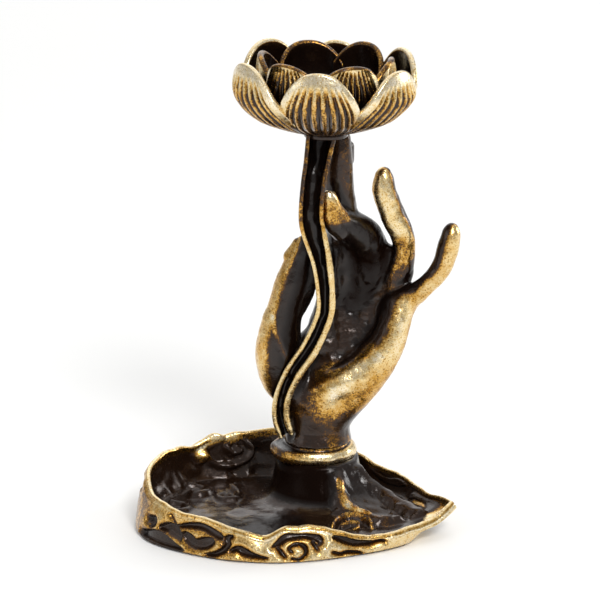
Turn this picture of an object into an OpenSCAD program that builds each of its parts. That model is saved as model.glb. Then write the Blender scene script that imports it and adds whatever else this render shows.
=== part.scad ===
// Backflow incense burner: a left hand on a leaf dish holds a lotus cup.
// Smoke falls through the lotus and runs down an open channel to the dish.
// Millimetres, +Z up, the dish stands on z = 0 and the palm faces -Y.

/* [Overall] */
// Height of the petal tips above the table
total_h = 98.8; // [94:0.2:106]
// Length of the leaf dish
dish_l = 66; // [60:0.5:76]
// Width of the leaf dish
dish_w = 45.2; // [42:0.2:54]

/* [Dish] */
// Height of the rim against its drawn height
rim_rise = 1; // [0.9:0.05:1.3]
// Thickness of the dish wall and floor
dish_t = 1.8; // [1.4:0.1:2.2]
// Height of the dish floor above the table
floor_z = 3.4; // [3:0.1:4]
// Height of the flat top of the mound
mound_z = 12.2; // [11:0.2:14]

/* [Wrist] */
// Diameter of the stub under the wrist
stub_d = 10.8; // [10:0.2:11.6]
// Height of the rolled cuff
collar_h = 3.2; // [2.6:0.2:4]
// Thread diameter of the screw in the wrist
screw_d = 4; // [3:0.5:4]
// Depth of thread in the wrist
thread_l = 8; // [6:0.5:10]
// Diameter of the dowel beside the screw
dowel_d = 2; // [1.5:0.1:2.2]

/* [Channel] */
// Width of the channel against its drawn width
channel_w = 1; // [0.9:0.05:1.15]
// Wall thickness of the channel
channel_t = 0.9; // [0.7:0.05:1]

/* [Lotus] */
// Diameter over the outer petals
lotus_d = 38; // [34:0.5:42]
// Height of the outer petals
lotus_h = 15.2; // [14:0.2:18]
// Number of petals in each ring
petals = 6; // [5:1:8]
// Thickness of a petal
petal_t = 1.3; // [1.1:0.1:1.6]
// Diameter of the flat seat for the cone
seat_d = 14; // [12:0.5:15]
// Diameter of the smoke hole
smoke_d = 3.6; // [3:0.1:4]
// Wall thickness of the smoke nipple
nipple_t = 1.15; // [0.9:0.05:1.3]

/* [Fits] */
// Radial clearance of pieces that slide or plug together
slip = 0.05; // [0.02:0.01:0.08]
// Radial clearance of the screw in the dish and the washer
screw_gap = 0.2; // [0.1:0.05:0.4]
// Radial clearance of the lotus round the nipple flange
flange_gap = 0.3; // [0.15:0.05:0.4]
// Clearance of the hand round the channel
channel_gap = 0.05; // [0.03:0.01:0.1]

/* [Hidden] */
// Size at which the dish outline, hand and channel are drawn
drawn_l = 66;
drawn_w = 45.2;
drawn_z = 15.4;
drawn_reach = 67;
sx = dish_l / drawn_l;
sy = dish_w / drawn_w;
// Axes of the wrist and of the lotus in plan
wrist = [4.2, 9.6];
bloom = [5.8, 4];
collar_z = mound_z + collar_h;
web_t = 3.2;
// Rise of the tallest petal by its size and by the lean of the cup
tip_lift = 1.2;
bloom_z = total_h - lotus_h - tip_lift;
reach = (bloom_z - collar_z) / drawn_reach;
stub_r = stub_d / 2;
collar_r = 8.2;
washer_r = screw_d + 0.5;
washer_t = 0.8;
head_r = screw_d * 0.9;
head_h = screw_d * 0.65;
slot_w = 1;
slot_t = 1;
dowel_x = stub_r - dowel_d / 2 - 0.8;
dowel_l = 5.6;
dowel_z = mound_z - 2.4;
floor_t = 2.2;
cup_t = 1.4;
seat_t = 1;
nipple_r = smoke_d / 2 + nipple_t;
bush_r = nipple_r + 1;
flange_r = bush_r + 0.5;
flange_t = 1;
head_t = 1.2;
tenon_r = smoke_d / 2 + 0.7;
seat_top = floor_t + cup_t + seat_t;
lotus_r = lotus_d / 2;
// Underside of each ring of petals, and the floor inside it
outer_foot_r = 5.2;
inner_foot_r = seat_d / 2 - 1.6;
inner_room = 0.3;
// Height of the valley between two petals, lap of a petal under its neighbour, and fall-back of its sides
outer_valley = 4.6;
inner_valley = 11.4;
petal_lap = 0.91;
petal_round = 1.9;
// Turn of each petal from its even place and its size, as the cup was modelled by hand
outer_turns = [-5, -7, -4, -8, -18, -2];
outer_sizes = [1, 0.98, 1.04, 0.98, 1.02, 0.96];
inner_turns = [-38, -36, -38, -40, -44, -36];
inner_sizes = [0.97, 1, 1, 1.04, 1, 0.97];
// Lean of the cup to the left and to the front, in degrees
lean = [-2.4, 1.5];
// Height over which a petal's sides fall back, and height at which the cup leans fully
petal_fade = 5;
lean_top = 12;
// Hollow between wall and floor of the dish, and edge of the mound round the cuff
cove_r = 2.6;
mound_edge = 0.3;
// Overlap of cutting shapes and of joined shapes
over = 1;

// Rim of the leaf: x, y and height, from the tip by way of the back
rim_line = [[32.9, -4.8, 6], [27.5, 1.4, 6.8], [21.6, 10.8, 7.5], [13.8, 16.9, 7.8],
    [5, 20.6, 9.4], [-4, 22.3, 12], [-10.4, 22.4, 12.8], [-20, 20.2, 11.6], [-27.2, 14, 11.6],
    [-31.2, 3.6, 10.2], [-29.8, -6, 9], [-25.6, -12.4, 8.2], [-18, -17.2, 7.4],
    [-10.3, -20.6, 5.8], [-3, -20.6, 6.6], [5, -19.2, 5.8], [13.6, -17.2, 4.3],
    [20.5, -14.6, 4], [27, -9.8, 4.3]];
// Foot of the leaf under the same stations
foot_line = [[25.4, -5.6], [24.2, 0], [20.6, 9.6], [13.4, 16.4],
    [5, 20.6], [-4, 22.4], [-10.4, 22.5], [-20, 20.4], [-28.4, 14],
    [-32.9, 3], [-32, -7.2], [-27.4, -13.6], [-18.8, -19.2],
    [-11.4, -21.8], [-3.6, -22.6], [5, -21], [13.6, -17.6],
    [20.4, -13.4], [24.4, -9.6]];

// Ridges from the mound to the tip: half width, rise, and points in plan
ridges = [[3, 1.9, [[7, 2.4], [8.6, -1.4], [10.4, -4.4], [13.4, -7.4], [17.5, -9.6], [23, -10]]],
    [3, 1.7, [[10.8, 6], [14.6, 4.2], [18.2, 2], [21.5, -1.4], [25, -4]]]];

// Wrist, palm, heel and fingers: x, y, z and radius of points from the wrist or palm to the tip
wrist_line = [[wrist[0], wrist[1], drawn_z, 6.7], [wrist[0], wrist[1], 17.2, 6.2],
    [wrist[0], wrist[1], 19, 5.95], [4.5, 9.8, 22.5, 6], [5, 10.2, 26, 6.1]];
palm_lines = [
    [[4.4, 10.4, 21, 5], [5.4, 12.4, 30, 4.8], [7, 14.2, 40, 4.2], [8.8, 14.6, 48, 3.6],
        [9.4, 13.2, 55, 3.3]],
    [[5, 10.6, 21, 5], [8.6, 13.2, 31, 4.8], [11.4, 14.9, 41, 4.2], [13.4, 15, 49, 3.8],
        [14.4, 13.6, 55, 3.8]],
    [[5.6, 10.4, 22, 4.8], [11.4, 12.6, 31, 4.6], [15.4, 14.3, 40, 3.8], [18.6, 14.4, 46, 3.2],
        [20.7, 12.7, 50.1, 2.7]]];
heel_line = [[5, 9.6, 19.5, 4.6], [10.2, 8.7, 25, 4.4], [15.7, 8.4, 32, 4.2], [19.2, 8.9, 38, 3.5],
    [21.2, 10.4, 44.2, 3.1]];
cushion_line = [[2.8, 7.2, 24.5, 3.2], [6.8, 6.8, 27.4, 3.5], [11.2, 7.2, 29.6, 3.6], [15.4, 8.4, 32, 3.7]];
thumb_line = [[3.2, 10.6, 22, 4], [-1.2, 9, 27, 4.6], [-3, 7.6, 31, 4.9], [-3.8, 6.4, 36, 4.75],
    [-3.3, 5.8, 41, 4.05], [-2.3, 5.4, 45.5, 3.65], [-0.9, 5.2, 50.5, 3.55], [0.3, 4.8, 54.5, 3],
    [1.2, 4.2, 57.6, 2.3], [1.5, 3.9, 59.2, 1.8], [1.6, 3.8, 60.5, 0.7]];
index_line = [[8.8, 14.6, 48, 3.6], [9.4, 12.9, 55.5, 3.5], [9.1, 10, 62.8, 3.4], [8.5, 8, 68.5, 3.2],
    [8.5, 7.1, 73.5, 2.85], [8.7, 6.8, 77.4, 2.45], [8.9, 6.8, 79.6, 2.1], [8.9, 6.8, 80.8, 1]];
middle_line = [[14.4, 15, 49.5, 3.6], [14.6, 12.8, 56, 4], [12.6, 9.8, 60, 3.7], [10.4, 6.4, 62.2, 2.7],
    [8.6, 3.8, 64.5, 2.1], [7.3, 2, 66.9, 1.8], [6.6, 1.1, 68.8, 1.6], [6.2, 0.7, 70.4, 0.7]];
pad_line = [[8.6, 3.4, 61.4, 1.7], [7.3, 2, 63.4, 1.8], [6.5, 1.3, 66.2, 1.6]];
web_line = [[15.4, 14.2, 50, 3.2], [17.6, 13.2, 53.2, 2.3], [18.8, 12.2, 55.2, 1.5]];
ring_line = [[18.6, 14.4, 46, 3], [21.2, 12.2, 51, 2.6], [22, 10.8, 56, 2.3], [21.3, 10, 60, 2.5],
    [19.3, 9.4, 64.4, 2.55], [17.9, 9.2, 68.2, 2.45], [17.6, 9.2, 71, 2.15], [17.7, 9.2, 72.6, 1.6],
    [17.7, 9.2, 73.7, 0.6]];
little_line = [[17.6, 13.8, 40.5, 3.2], [21.4, 11.5, 44.7, 2.9], [24.9, 9.2, 47.4, 2.2],
    [27.7, 8.2, 50.4, 2], [29.6, 7.6, 53.6, 1.95], [30.5, 7.4, 57.1, 1.95], [30.9, 7.4, 60, 1.7],
    [31, 7.4, 61.9, 0.6]];
// Channel: x, y, z, width and depth, from the lotus to the wrist
stem_line = [[4.9, 3.4, 83.6, 6.2, 5.6], [3.9, 2.2, 76.3, 5.3, 4.4], [3.2, 1.4, 72, 5, 3.8],
    [2.8, 1, 66, 5, 3.5], [3.3, 1, 62.6, 5, 3.4], [4.9, 1, 56.2, 4.1, 3.2], [5.7, 1, 49.6, 3.7, 3.1],
    [5.4, 1.2, 44.8, 3.6, 3.1], [2.6, 2.2, 38, 3.7, 3.1], [-0.8, 3.4, 32.4, 3.6, 3.1],
    [-3, 4.6, 26.8, 3.4, 2.9], [-3.4, 5.3, 22, 3.4, 2.8], [-2.2, 5.5, 17.8, 3.2, 2.6]];

// Outside of a petal: height and radius as shares of the petal height and lotus radius
outer_form = [[0, 0.3], [0.05, 0.46], [0.115, 0.61], [0.19, 0.745], [0.3, 0.86], [0.42, 0.945], [0.56, 1],
    [0.72, 1], [1, 0.955]];
inner_form = [[floor_t / lotus_h, 0.36], [0.27, 0.57], [0.45, 0.7], [0.65, 0.755], [1.03, 0.715]];

function unit(v) = v / norm(v);
// Smooth rise from 0 at a to 1 at b
function ease(x, a, b) = let (t = max(0, min(1, (x - a) / (b - a)))) t * t * (3 - 2 * t);
// Distance of a point from a line of points
function gap_to(q, line) = min([for (i = [0:len(line) - 2]) let (a = line[i], ab = line[i + 1] - a)
    norm(q - a - max(0, min(1, (q - a) * ab / (ab * ab))) * ab)]);
// Height on the drawn hand or channel, stretched to the present height
function raised(p) = [for (i = [0:len(p) - 1]) i == 2 ? collar_z + (p[2] - drawn_z) * reach : p[i]];
function bend(a, b, c, d, t) = 0.5 * (2 * b + (c - a) * t + (2 * a - 5 * b + 4 * c - d) * t * t
    + (3 * b - a - 3 * c + d) * t * t * t);
// Smooth line through points, open or closed, with m steps between two of them
function open_line(p, m) = let (n = len(p)) concat([for (i = [0:n - 2]) for (j = [0:m - 1])
    bend(p[max(i - 1, 0)], p[i], p[i + 1], p[min(i + 2, n - 1)], j / m)], [p[n - 1]]);
function closed_line(p, m) = let (n = len(p)) [for (i = [0:n - 1]) for (j = [0:m - 1])
    bend(p[(i + n - 1) % n], p[i], p[(i + 1) % n], p[(i + 2) % n], j / m)];
function place(p) = [p[0], p[1], p[2]];
function run(p, i) = unit(place(p[min(i + 1, len(p) - 1)]) - place(p[max(i - 1, 0)]));
function middle(r) = [for (v = [0:2]) [for (q = r) q[v]] * [for (q = r) 1] / len(r)];

// Closed skin over rings of equal count, with a fan at each end
module skin(rings) {
    n = len(rings[0]);
    m = len(rings);
    points = concat([for (r = rings) each r], [middle(rings[0]), middle(rings[m - 1])]);
    sides = [for (i = [0:m - 2]) for (k = [0:n - 1]) each [
        [i * n + k, (i + 1) * n + k, (i + 1) * n + (k + 1) % n],
        [i * n + k, (i + 1) * n + (k + 1) % n, i * n + (k + 1) % n]]];
    ends = [for (k = [0:n - 1]) each [
        [m * n, k, (k + 1) % n],
        [m * n + 1, (m - 1) * n + (k + 1) % n, (m - 1) * n + k]]];
    polyhedron(points, concat(sides, ends), convexity = 8);
}

// Round limb along points of x, y, z and radius
module limb(line, steps = 2, sides = 12) {
    path = open_line([for (p = line) raised(p)], steps);
    skin([for (i = [0:len(path) - 1])
        let (t = run(path, i), u = unit(cross([0, 1, 0], t)), v = cross(t, u))
        [for (k = [0:sides - 1]) let (a = 360 * k / sides)
            place(path[i]) + path[i][3] * (cos(a) * u + sin(a) * v)]]);
}

// Cross-section of the channel as across and depth pairs, open to the front
function trough(w, d, t) = concat(
    [for (k = [0:8]) let (a = 180 * k / 8) [w / 2 * cos(a), -d / 2 + d * pow(sin(a), 0.7)]],
    [for (k = [0:8]) let (a = 180 - 180 * k / 8)
        [(w / 2 - t) * cos(a), -d / 2 - 0.01 + (d - t) * pow(sin(a), 0.7)]]);
// Filled cross-section that the channel takes up in the hand
function trough_room(w, d) = concat(
    [for (k = [0:8]) let (a = 180 * k / 8) [w / 2 * cos(a), -d / 2 + d * pow(sin(a), 0.7)]],
    [[-w / 2, -d], [w / 2, -d]]);

// Centre line of the channel, and its rings from one cross-section at each point
stem_path = open_line([for (p = stem_line) raised(p)], 3);
function stem_rings(shape) = [for (i = [0:len(stem_path) - 1])
    let (t = run(stem_path, i), v = unit([0, 1, 0] - t[1] * t), u = cross(v, t))
    [for (q = shape[i]) place(stem_path[i]) + q[0] * u + q[1] * v]];

module leaf_dish() {
    rim = closed_line([for (p = rim_line) [p[0] * sx, p[1] * sy, max(p[2] * rim_rise, floor_z + 0.5)]], 4);
    foot = closed_line([for (p = foot_line) [p[0] * sx, p[1] * sy]], 4);
    hub = [wrist[0], wrist[1], 0];
    top_r = collar_r + mound_edge;
    tip = unit([rim[0][0], rim[0][1], 0] - hub);
    rise = mound_z - floor_z;
    function flat(p) = [p[0], p[1], 0];
    function toward(p, r) = hub + r * unit(flat(p) - hub);
    function far(p) = norm(flat(p) - hub);
    function wall_t(p) = min(dish_t, far(p) - top_r - 0.4);
    function cove(p) = max(0.1, min(cove_r, far(p) - wall_t(p) - top_r - 0.3));
    function ridge(q) = max([for (g = ridges) let (d = min(1, gap_to([q[0] / sx, q[1] / sy], g[2]) / g[0]))
        g[1] * pow(1 - d * d, 1.5)]);
    // Mound profile: steep at the left, long towards the tip
    function mound(p, s) = let (l = 0.05 + 0.22 * pow((1 + unit(flat(p) - hub) * tip) / 2, 3))
        floor_z + rise * (exp(-s / l) - s * exp(-1 / l));
    // Ring between the mound edge and the foot of the hollow
    function floor_ring(s) = [for (p = rim)
        let (q = toward(p, top_r + (far(p) - wall_t(p) - cove(p) - top_r) * s))
        q + [0, 0, mound(p, s) + ridge(q) * ease(s, 0, 0.12) * (1 - ease(s, 0.94, 0.985))]];
    function cove_ring(a) = [for (p = rim) toward(p, far(p) - wall_t(p) - cove(p) * (1 - cos(a)))
        + [0, 0, floor_z + (p[2] - 0.3 - floor_z) * (1 - sin(a))]];
    function foot_ring(inset, z) = [for (p = foot)
        toward(p, max(far(p) - inset, top_r + 0.4 - inset / 5)) + [0, 0, z]];
    color([0.32, 0.23, 0.12]) difference() {
        skin([
            [for (p = foot) toward(p, top_r - 1.4) + [0, 0, mound_z - web_t]],
            [for (p = foot) toward(p, top_r - 0.6) + [0, 0, floor_z]],
            foot_ring(3.4, floor_z - dish_t),
            foot_ring(2.2, 0),
            foot_ring(0, 0),
            [for (i = [0:len(rim) - 1]) (flat(foot[i]) + flat(rim[i])) / 2 + [0, 0, rim[i][2] * 0.45]],
            [for (p = rim) p - [0, 0, 0.5]],
            [for (p = rim) toward(p, far(p) - 0.5) + [0, 0, p[2]]],
            each [for (a = [0, 30, 60]) cove_ring(a)],
            each [for (s = [1, 0.8, 0.62, 0.46, 0.33, 0.23, 0.15, 0.09, 0.04, 0]) floor_ring(s)]
        ]);
        translate([wrist[0], wrist[1], -over])
            cylinder(r = screw_d / 2 + screw_gap, h = mound_z + 2 * over, $fn = 48);
        translate([wrist[0], wrist[1] + dowel_x, dowel_z]) cylinder(r = dowel_d / 2, h = mound_z, $fn = 32);
    }
}

module wrist_collar() {
    color([0.72, 0.53, 0.2]) translate([wrist[0], wrist[1], mound_z]) rotate_extrude($fn = 64)
        difference() {
            union() {
                translate([stub_r + slip, 0]) square([collar_r - stub_r - collar_h / 2, collar_h]);
                translate([collar_r - collar_h / 2, collar_h / 2]) circle(d = collar_h, $fn = 32);
            }
            translate([0, -over]) square([stub_r + slip, collar_h + 2 * over]);
        }
}

module hand() {
    color([0.6, 0.43, 0.17]) difference() {
        union() {
            resize([0, 0, 0]) difference() {
                union() {
                    limb(wrist_line);
                    for (line = palm_lines) limb(line);
                    limb(heel_line);
                    limb(cushion_line);
                    limb(thumb_line);
                    limb(index_line);
                    limb(middle_line);
                    limb(pad_line);
                    limb(web_line);
                    limb(ring_line);
                    limb(little_line);
                }
                skin(stem_rings([for (p = stem_path)
                    trough_room(p[3] * channel_w + 2 * channel_gap, p[4] * channel_w + 2 * channel_gap)]));
            }
            translate([wrist[0], wrist[1], mound_z]) cylinder(r = stub_r, h = collar_h + 2 * over, $fn = 64);
        }
        translate([wrist[0], wrist[1], mound_z - over])
            cylinder(r = screw_d / 2, h = thread_l + 2 * over, $fn = 48);
        translate([wrist[0], wrist[1] + dowel_x, mound_z - over])
            cylinder(r = dowel_d / 2, h = dowel_z + dowel_l + 0.4 - mound_z + over, $fn = 32);
    }
}

module wrist_screw() {
    under = mound_z - web_t - washer_t;
    color([0.6, 0.6, 0.62]) translate([wrist[0], wrist[1], under]) difference() {
        union() {
            translate([0, 0, -head_h]) cylinder(r = head_r, h = head_h, $fn = 48);
            cylinder(r = screw_d / 2 - slip, h = washer_t + web_t + thread_l, $fn = 48);
        }
        translate([-head_r - over, -slot_w / 2, -head_h - over])
            cube([2 * (head_r + over), slot_w, over + slot_t]);
    }
}

module wrist_washer() {
    color([0.6, 0.6, 0.62]) translate([wrist[0], wrist[1], mound_z - web_t - washer_t]) difference() {
        cylinder(r = washer_r, h = washer_t, $fn = 48);
        translate([0, 0, -over]) cylinder(r = screw_d / 2 + screw_gap, h = washer_t + 2 * over, $fn = 48);
    }
}

module wrist_dowel() {
    color([0.6, 0.6, 0.62]) translate([wrist[0], wrist[1] + dowel_x, dowel_z + 0.1])
        cylinder(r = dowel_d / 2 - slip, h = dowel_l, $fn = 32);
}

module stem_channel() {
    color([0.4, 0.29, 0.13]) difference() {
        resize([0, 0, 0]) difference() {
            union() {
                skin(stem_rings([for (p = stem_path)
                    trough(p[3] * channel_w, p[4] * channel_w, channel_t)]));
                translate([bloom[0], bloom[1], bloom_z - head_t])
                    cylinder(r = flange_r, h = head_t, $fn = 48);
            }
            translate([bloom[0] - 10, bloom[1] - 10, bloom_z]) cube([20, 20, 5]);
        }
        translate([bloom[0], bloom[1], bloom_z - head_t - 0.3])
            cylinder(r = tenon_r + slip, h = head_t + 1, $fn = 48);
    }
}

module smoke_nipple() {
    color([0.72, 0.53, 0.2]) translate([bloom[0], bloom[1], bloom_z]) difference() {
        union() {
            translate([0, 0, -head_t]) cylinder(r = tenon_r, h = head_t + 0.1, $fn = 48);
            cylinder(r = flange_r, h = flange_t, $fn = 48);
            cylinder(r = nipple_r, h = seat_top, $fn = 48);
        }
        translate([0, 0, -head_t - over]) cylinder(d = smoke_d, h = head_t + seat_top + 2 * over, $fn = 48);
    }
}

// Ring of petals: outside form, floor height, radii of underside and floor, valley, turns and sizes
module petal_ring(form, low, base_r, floor_r, valley, turns, sizes) {
    per = 10;
    count = petals * per;
    steps = 8;
    bottom = form[0][0] * lotus_h;
    top = form[len(form) - 1][0] * lotus_h;
    function of_petal(list, i) = list[((i + petals) % petals) % len(list)];
    function turn_at(i) = 360 * i / petals + of_petal(turns, i);
    function edge_at(i) = (turn_at(i - 1) + turn_at(i)) / 2;
    function side(k) = petal_lap * abs(2 * (k % per) / per - 1);
    function crest(k) = (top - (top - valley) * pow(side(k), 2.3)) * of_petal(sizes, floor(k / per));
    function out_r(k, z) = lotus_r * lookup(z / lotus_h, form)
        - petal_round * pow(side(k), 2.4) * ease(z, bottom, bottom + petal_fade);
    function leaning(p) = p + [0, 0, ease(p[2], seat_top, lean_top)
        * (p[0] * tan(lean[0]) + p[1] * tan(lean[1]))];
    function ring_at(r, k, z) = let (i = floor(k / per))
        let (a = edge_at(i) + (edge_at(i + 1) - edge_at(i)) * (k % per) / per - 90)
        leaning([r * cos(a), r * sin(a), z]);
    skin(concat(
        [[for (k = [0:count - 1]) ring_at(base_r, k, bottom)]],
        [for (j = [0:steps]) [for (k = [0:count - 1])
            let (z = bottom + (crest(k) - bottom) * pow(j / steps, 1.5)) ring_at(out_r(k, z), k, z)]],
        [for (j = [steps:-1:1]) [for (k = [0:count - 1])
            let (z = low + (crest(k) - low) * j / steps - (j == steps ? 0.15 : 0))
            ring_at(out_r(k, z) - petal_t, k, z)]],
        [[for (k = [0:count - 1]) ring_at(floor_r, k, low)]]));
}

module outer_petals() {
    color([0.55, 0.4, 0.16]) translate([bloom[0], bloom[1], bloom_z]) difference() {
        petal_ring(outer_form, floor_t, outer_foot_r, lotus_r * inner_form[0][1] + inner_room,
            outer_valley, outer_turns, outer_sizes);
        translate([0, 0, -over]) cylinder(r = bush_r + slip, h = floor_t + 2 * over, $fn = 48);
        translate([0, 0, -over]) cylinder(r = flange_r + flange_gap, h = over + flange_t, $fn = 48);
    }
}

module inner_petals() {
    color([0.35, 0.26, 0.13]) translate([bloom[0], bloom[1], bloom_z]) difference() {
        petal_ring(inner_form, floor_t + cup_t, inner_foot_r, seat_d / 2 + inner_room,
            inner_valley, inner_turns, inner_sizes);
        translate([0, 0, -over]) cylinder(r = bush_r + slip, h = floor_t + cup_t + 2 * over, $fn = 48);
    }
}

module cone_seat() {
    color([0.5, 0.37, 0.15]) translate([bloom[0], bloom[1], bloom_z]) difference() {
        union() {
            translate([0, 0, flange_t]) cylinder(r = bush_r, h = seat_top - flange_t, $fn = 48);
            translate([0, 0, seat_top - seat_t]) cylinder(d = seat_d, h = seat_t, $fn = 64);
        }
        translate([0, 0, -over]) cylinder(r = nipple_r + slip, h = seat_top + 2 * over, $fn = 48);
    }
}

leaf_dish();
wrist_collar();
hand();
wrist_screw();
wrist_washer();
wrist_dowel();
stem_channel();
smoke_nipple();
outer_petals();
inner_petals();
cone_seat();
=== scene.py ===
"""Backflow incense burner in cast brass with an antique finish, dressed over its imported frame."""
import logging
import math
from collections.abc import Iterator
from dataclasses import dataclass, field
from enum import Enum
from typing import Any, ClassVar

import bpy
import numpy as np
import openvdb
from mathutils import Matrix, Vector


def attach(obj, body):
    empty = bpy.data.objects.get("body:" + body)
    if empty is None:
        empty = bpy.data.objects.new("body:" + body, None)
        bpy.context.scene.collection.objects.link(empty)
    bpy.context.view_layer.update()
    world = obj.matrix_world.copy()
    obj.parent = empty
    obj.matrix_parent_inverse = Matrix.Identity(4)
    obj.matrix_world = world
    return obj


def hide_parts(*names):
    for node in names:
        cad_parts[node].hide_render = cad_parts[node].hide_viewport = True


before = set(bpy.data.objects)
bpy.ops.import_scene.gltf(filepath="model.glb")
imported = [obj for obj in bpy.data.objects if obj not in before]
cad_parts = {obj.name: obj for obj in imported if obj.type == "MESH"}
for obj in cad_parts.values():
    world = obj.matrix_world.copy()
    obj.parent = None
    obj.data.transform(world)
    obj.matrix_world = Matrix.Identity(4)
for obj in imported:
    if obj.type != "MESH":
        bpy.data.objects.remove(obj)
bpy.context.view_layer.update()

LOG = logging.getLogger("burner")
MM = 0.001
# Numbers that scatter the corners of a lattice, for the lumps of the casting
LATTICE_STRIDES = np.array([73856093, 19349663, 83492791])
SEED_STRIDE = 6971
MIX_FACTOR = 1274126177
Points = tuple[tuple[float, ...], ...]
Place = tuple[float, float, float]
Zone = tuple[np.ndarray, np.ndarray]


class Body(Enum):
    """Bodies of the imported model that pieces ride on."""

    BASE = "base"
    LOTUS = "lotus"


class Slot(Enum):
    """Finish slots of the record."""

    ANTIQUE = "antique_brass"
    RUBBED = "rubbed_brass"
    STEEL = "steel"


class Face(Enum):
    """Surface inside the leaf dish that a scroll is cast on."""

    INSIDE = "inside"
    FLOOR = "floor"


def linear(code: str) -> tuple[float, float, float, float]:
    """Turn an sRGB hex colour into linear RGBA.

    Args:
        code: Six hex digits with or without a leading hash.

    Returns:
        Linear red, green, blue and an alpha of 1.
    """
    digits = code.lstrip("#")
    parts = [int(digits[i:i + 2], 16) / 255 for i in (0, 2, 4)]
    r, g, b = (c / 12.92 if c <= 0.04045 else ((c + 0.055) / 1.055) ** 2.4 for c in parts)
    return r, g, b, 1.0


def put(tree: bpy.types.NodeTree, kind: str, links: dict[Any, Any] | None = None,
        **settings: Any) -> bpy.types.Node:
    """Add a node with its settings, and link or set its inputs.

    Args:
        tree: Node tree that the node goes into.
        kind: Blender's type name of the node.
        links: Input name or number against a socket to link or a plain value.
        settings: Properties of the node itself.

    Returns:
        The new node.
    """
    node = tree.nodes.new(kind)
    for name, value in settings.items():
        setattr(node, name, value)
    for key, value in (links or {}).items():
        socket = node.inputs[key]
        if isinstance(value, bpy.types.NodeSocket):
            tree.links.new(value, socket)
        else:
            socket.default_value = value
    return node


def new_material(name: str) -> tuple[bpy.types.Material, bpy.types.NodeTree, bpy.types.Node]:
    """Start a node material.

    Args:
        name: What the material is and how its surface was made.

    Returns:
        The material, its node tree and its shader.
    """
    material = bpy.data.materials.new(name)
    material.use_nodes = True
    return material, material.node_tree, material.node_tree.nodes["Principled BSDF"]


def add_object(name: str, data: bpy.types.ID) -> bpy.types.Object:
    """Make an object of a mesh, lamp or camera.

    Args:
        name: Name of the object.
        data: What it shows.

    Returns:
        The new object, linked to the scene.
    """
    obj = bpy.data.objects.new(name, data)
    bpy.context.scene.collection.objects.link(obj)
    return obj


def store(mesh: bpy.types.Mesh, name: str, values: Any) -> None:
    """Write one number for each point of a mesh as an attribute."""
    spots = mesh.attributes.new(name, "FLOAT", "POINT")
    spots.data.foreach_set("value", np.asarray(values, dtype=np.float32))


def smooth_line(points: Points, steps: int, closed: bool = False) -> np.ndarray:
    """Run a Catmull-Rom line through control points.

    Args:
        points: Control points of any equal length.
        steps: Steps between two control points.
        closed: Whether the last point joins the first.

    Returns:
        Points along the line, one row each.
    """
    p = np.array(points, dtype=float)
    n = len(p)
    spans = n if closed else n - 1
    if closed:
        a, b, c, d = (np.roll(p, k, axis=0) for k in (1, 0, -1, -2))
    else:
        padded = np.vstack([p[:1], p, p[-1:]])
        a, b, c, d = padded[:-3], padded[1:-2], padded[2:-1], padded[3:]
    t = (np.arange(steps) / steps)[None, :, None]
    a, b, c, d = (m[:spans, None, :] for m in (a, b, c, d))
    line = 2 * b + (c - a) * t + (2 * a - 5 * b + 4 * c - d) * t ** 2
    line = 0.5 * (line + (3 * b - a - 3 * c + d) * t ** 3)
    line = line.reshape(-1, p.shape[1])
    return line if closed else np.vstack([line, p[-1:]])


def ease(x: np.ndarray, low: float, high: float) -> np.ndarray:
    """Rise smoothly from 0 at low to 1 at high."""
    t = np.clip((x - low) / (high - low), 0.0, 1.0)
    return t * t * (3 - 2 * t)


def lifted(xy: np.ndarray, z: np.ndarray) -> np.ndarray:
    """Give points of a plan their heights."""
    return np.concatenate([xy, z[..., None]], axis=-1)


def cell_corners(f: np.ndarray) -> Iterator[tuple[tuple[int, ...], np.ndarray]]:
    """Go round the eight corners of a cell, each with its weight at points inside the cell."""
    for corner in np.ndindex(2, 2, 2):
        yield corner, np.prod(np.where(np.array(corner) == 1, f, 1 - f), axis=1)


def lumps(points: np.ndarray, cell: float, seed: int) -> np.ndarray:
    """Give the uneven swelling of a hand-finished casting.

    Args:
        points: Points in millimetres, one row each.
        cell: Size of a lump in millimetres.
        seed: Fixed seed of the pattern.

    Returns:
        One value from -1 to 1 for each point.
    """
    q = points / cell
    low = np.floor(q).astype(np.int64)
    f = q - low
    total = np.zeros(len(points))
    for corner, weight in cell_corners(f * f * (3 - 2 * f)):
        key = (low + corner) @ LATTICE_STRIDES + seed * SEED_STRIDE
        key = (key ^ (key >> 13)) * MIX_FACTOR
        key = (key ^ (key >> 16)) & 0xFFFF
        total += weight * (key / 32767.5 - 1)
    return total


def distance_to(points: np.ndarray, line: np.ndarray) -> np.ndarray:
    """Measure how far points lie from an open line, or from the band round it.

    Args:
        points: Points, one row each.
        line: Points of the line, with the half width of a band as one more column if it has one.

    Returns:
        The shortest distance of each point, negative inside a band.
    """
    size = points.shape[1]
    best = np.full(len(points), 1e9)
    for a, b in zip(line[:-1], line[1:]):
        span = b[:size] - a[:size]
        t = np.clip((points - a[:size]) @ span / max(span @ span, 1e-12), 0, 1)
        gap = np.linalg.norm(points - a[:size] - t[:, None] * span, axis=1)
        if len(a) > size:
            gap -= a[size] + t * (b[size] - a[size])
        np.minimum(best, gap, out=best)
    return best


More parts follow.
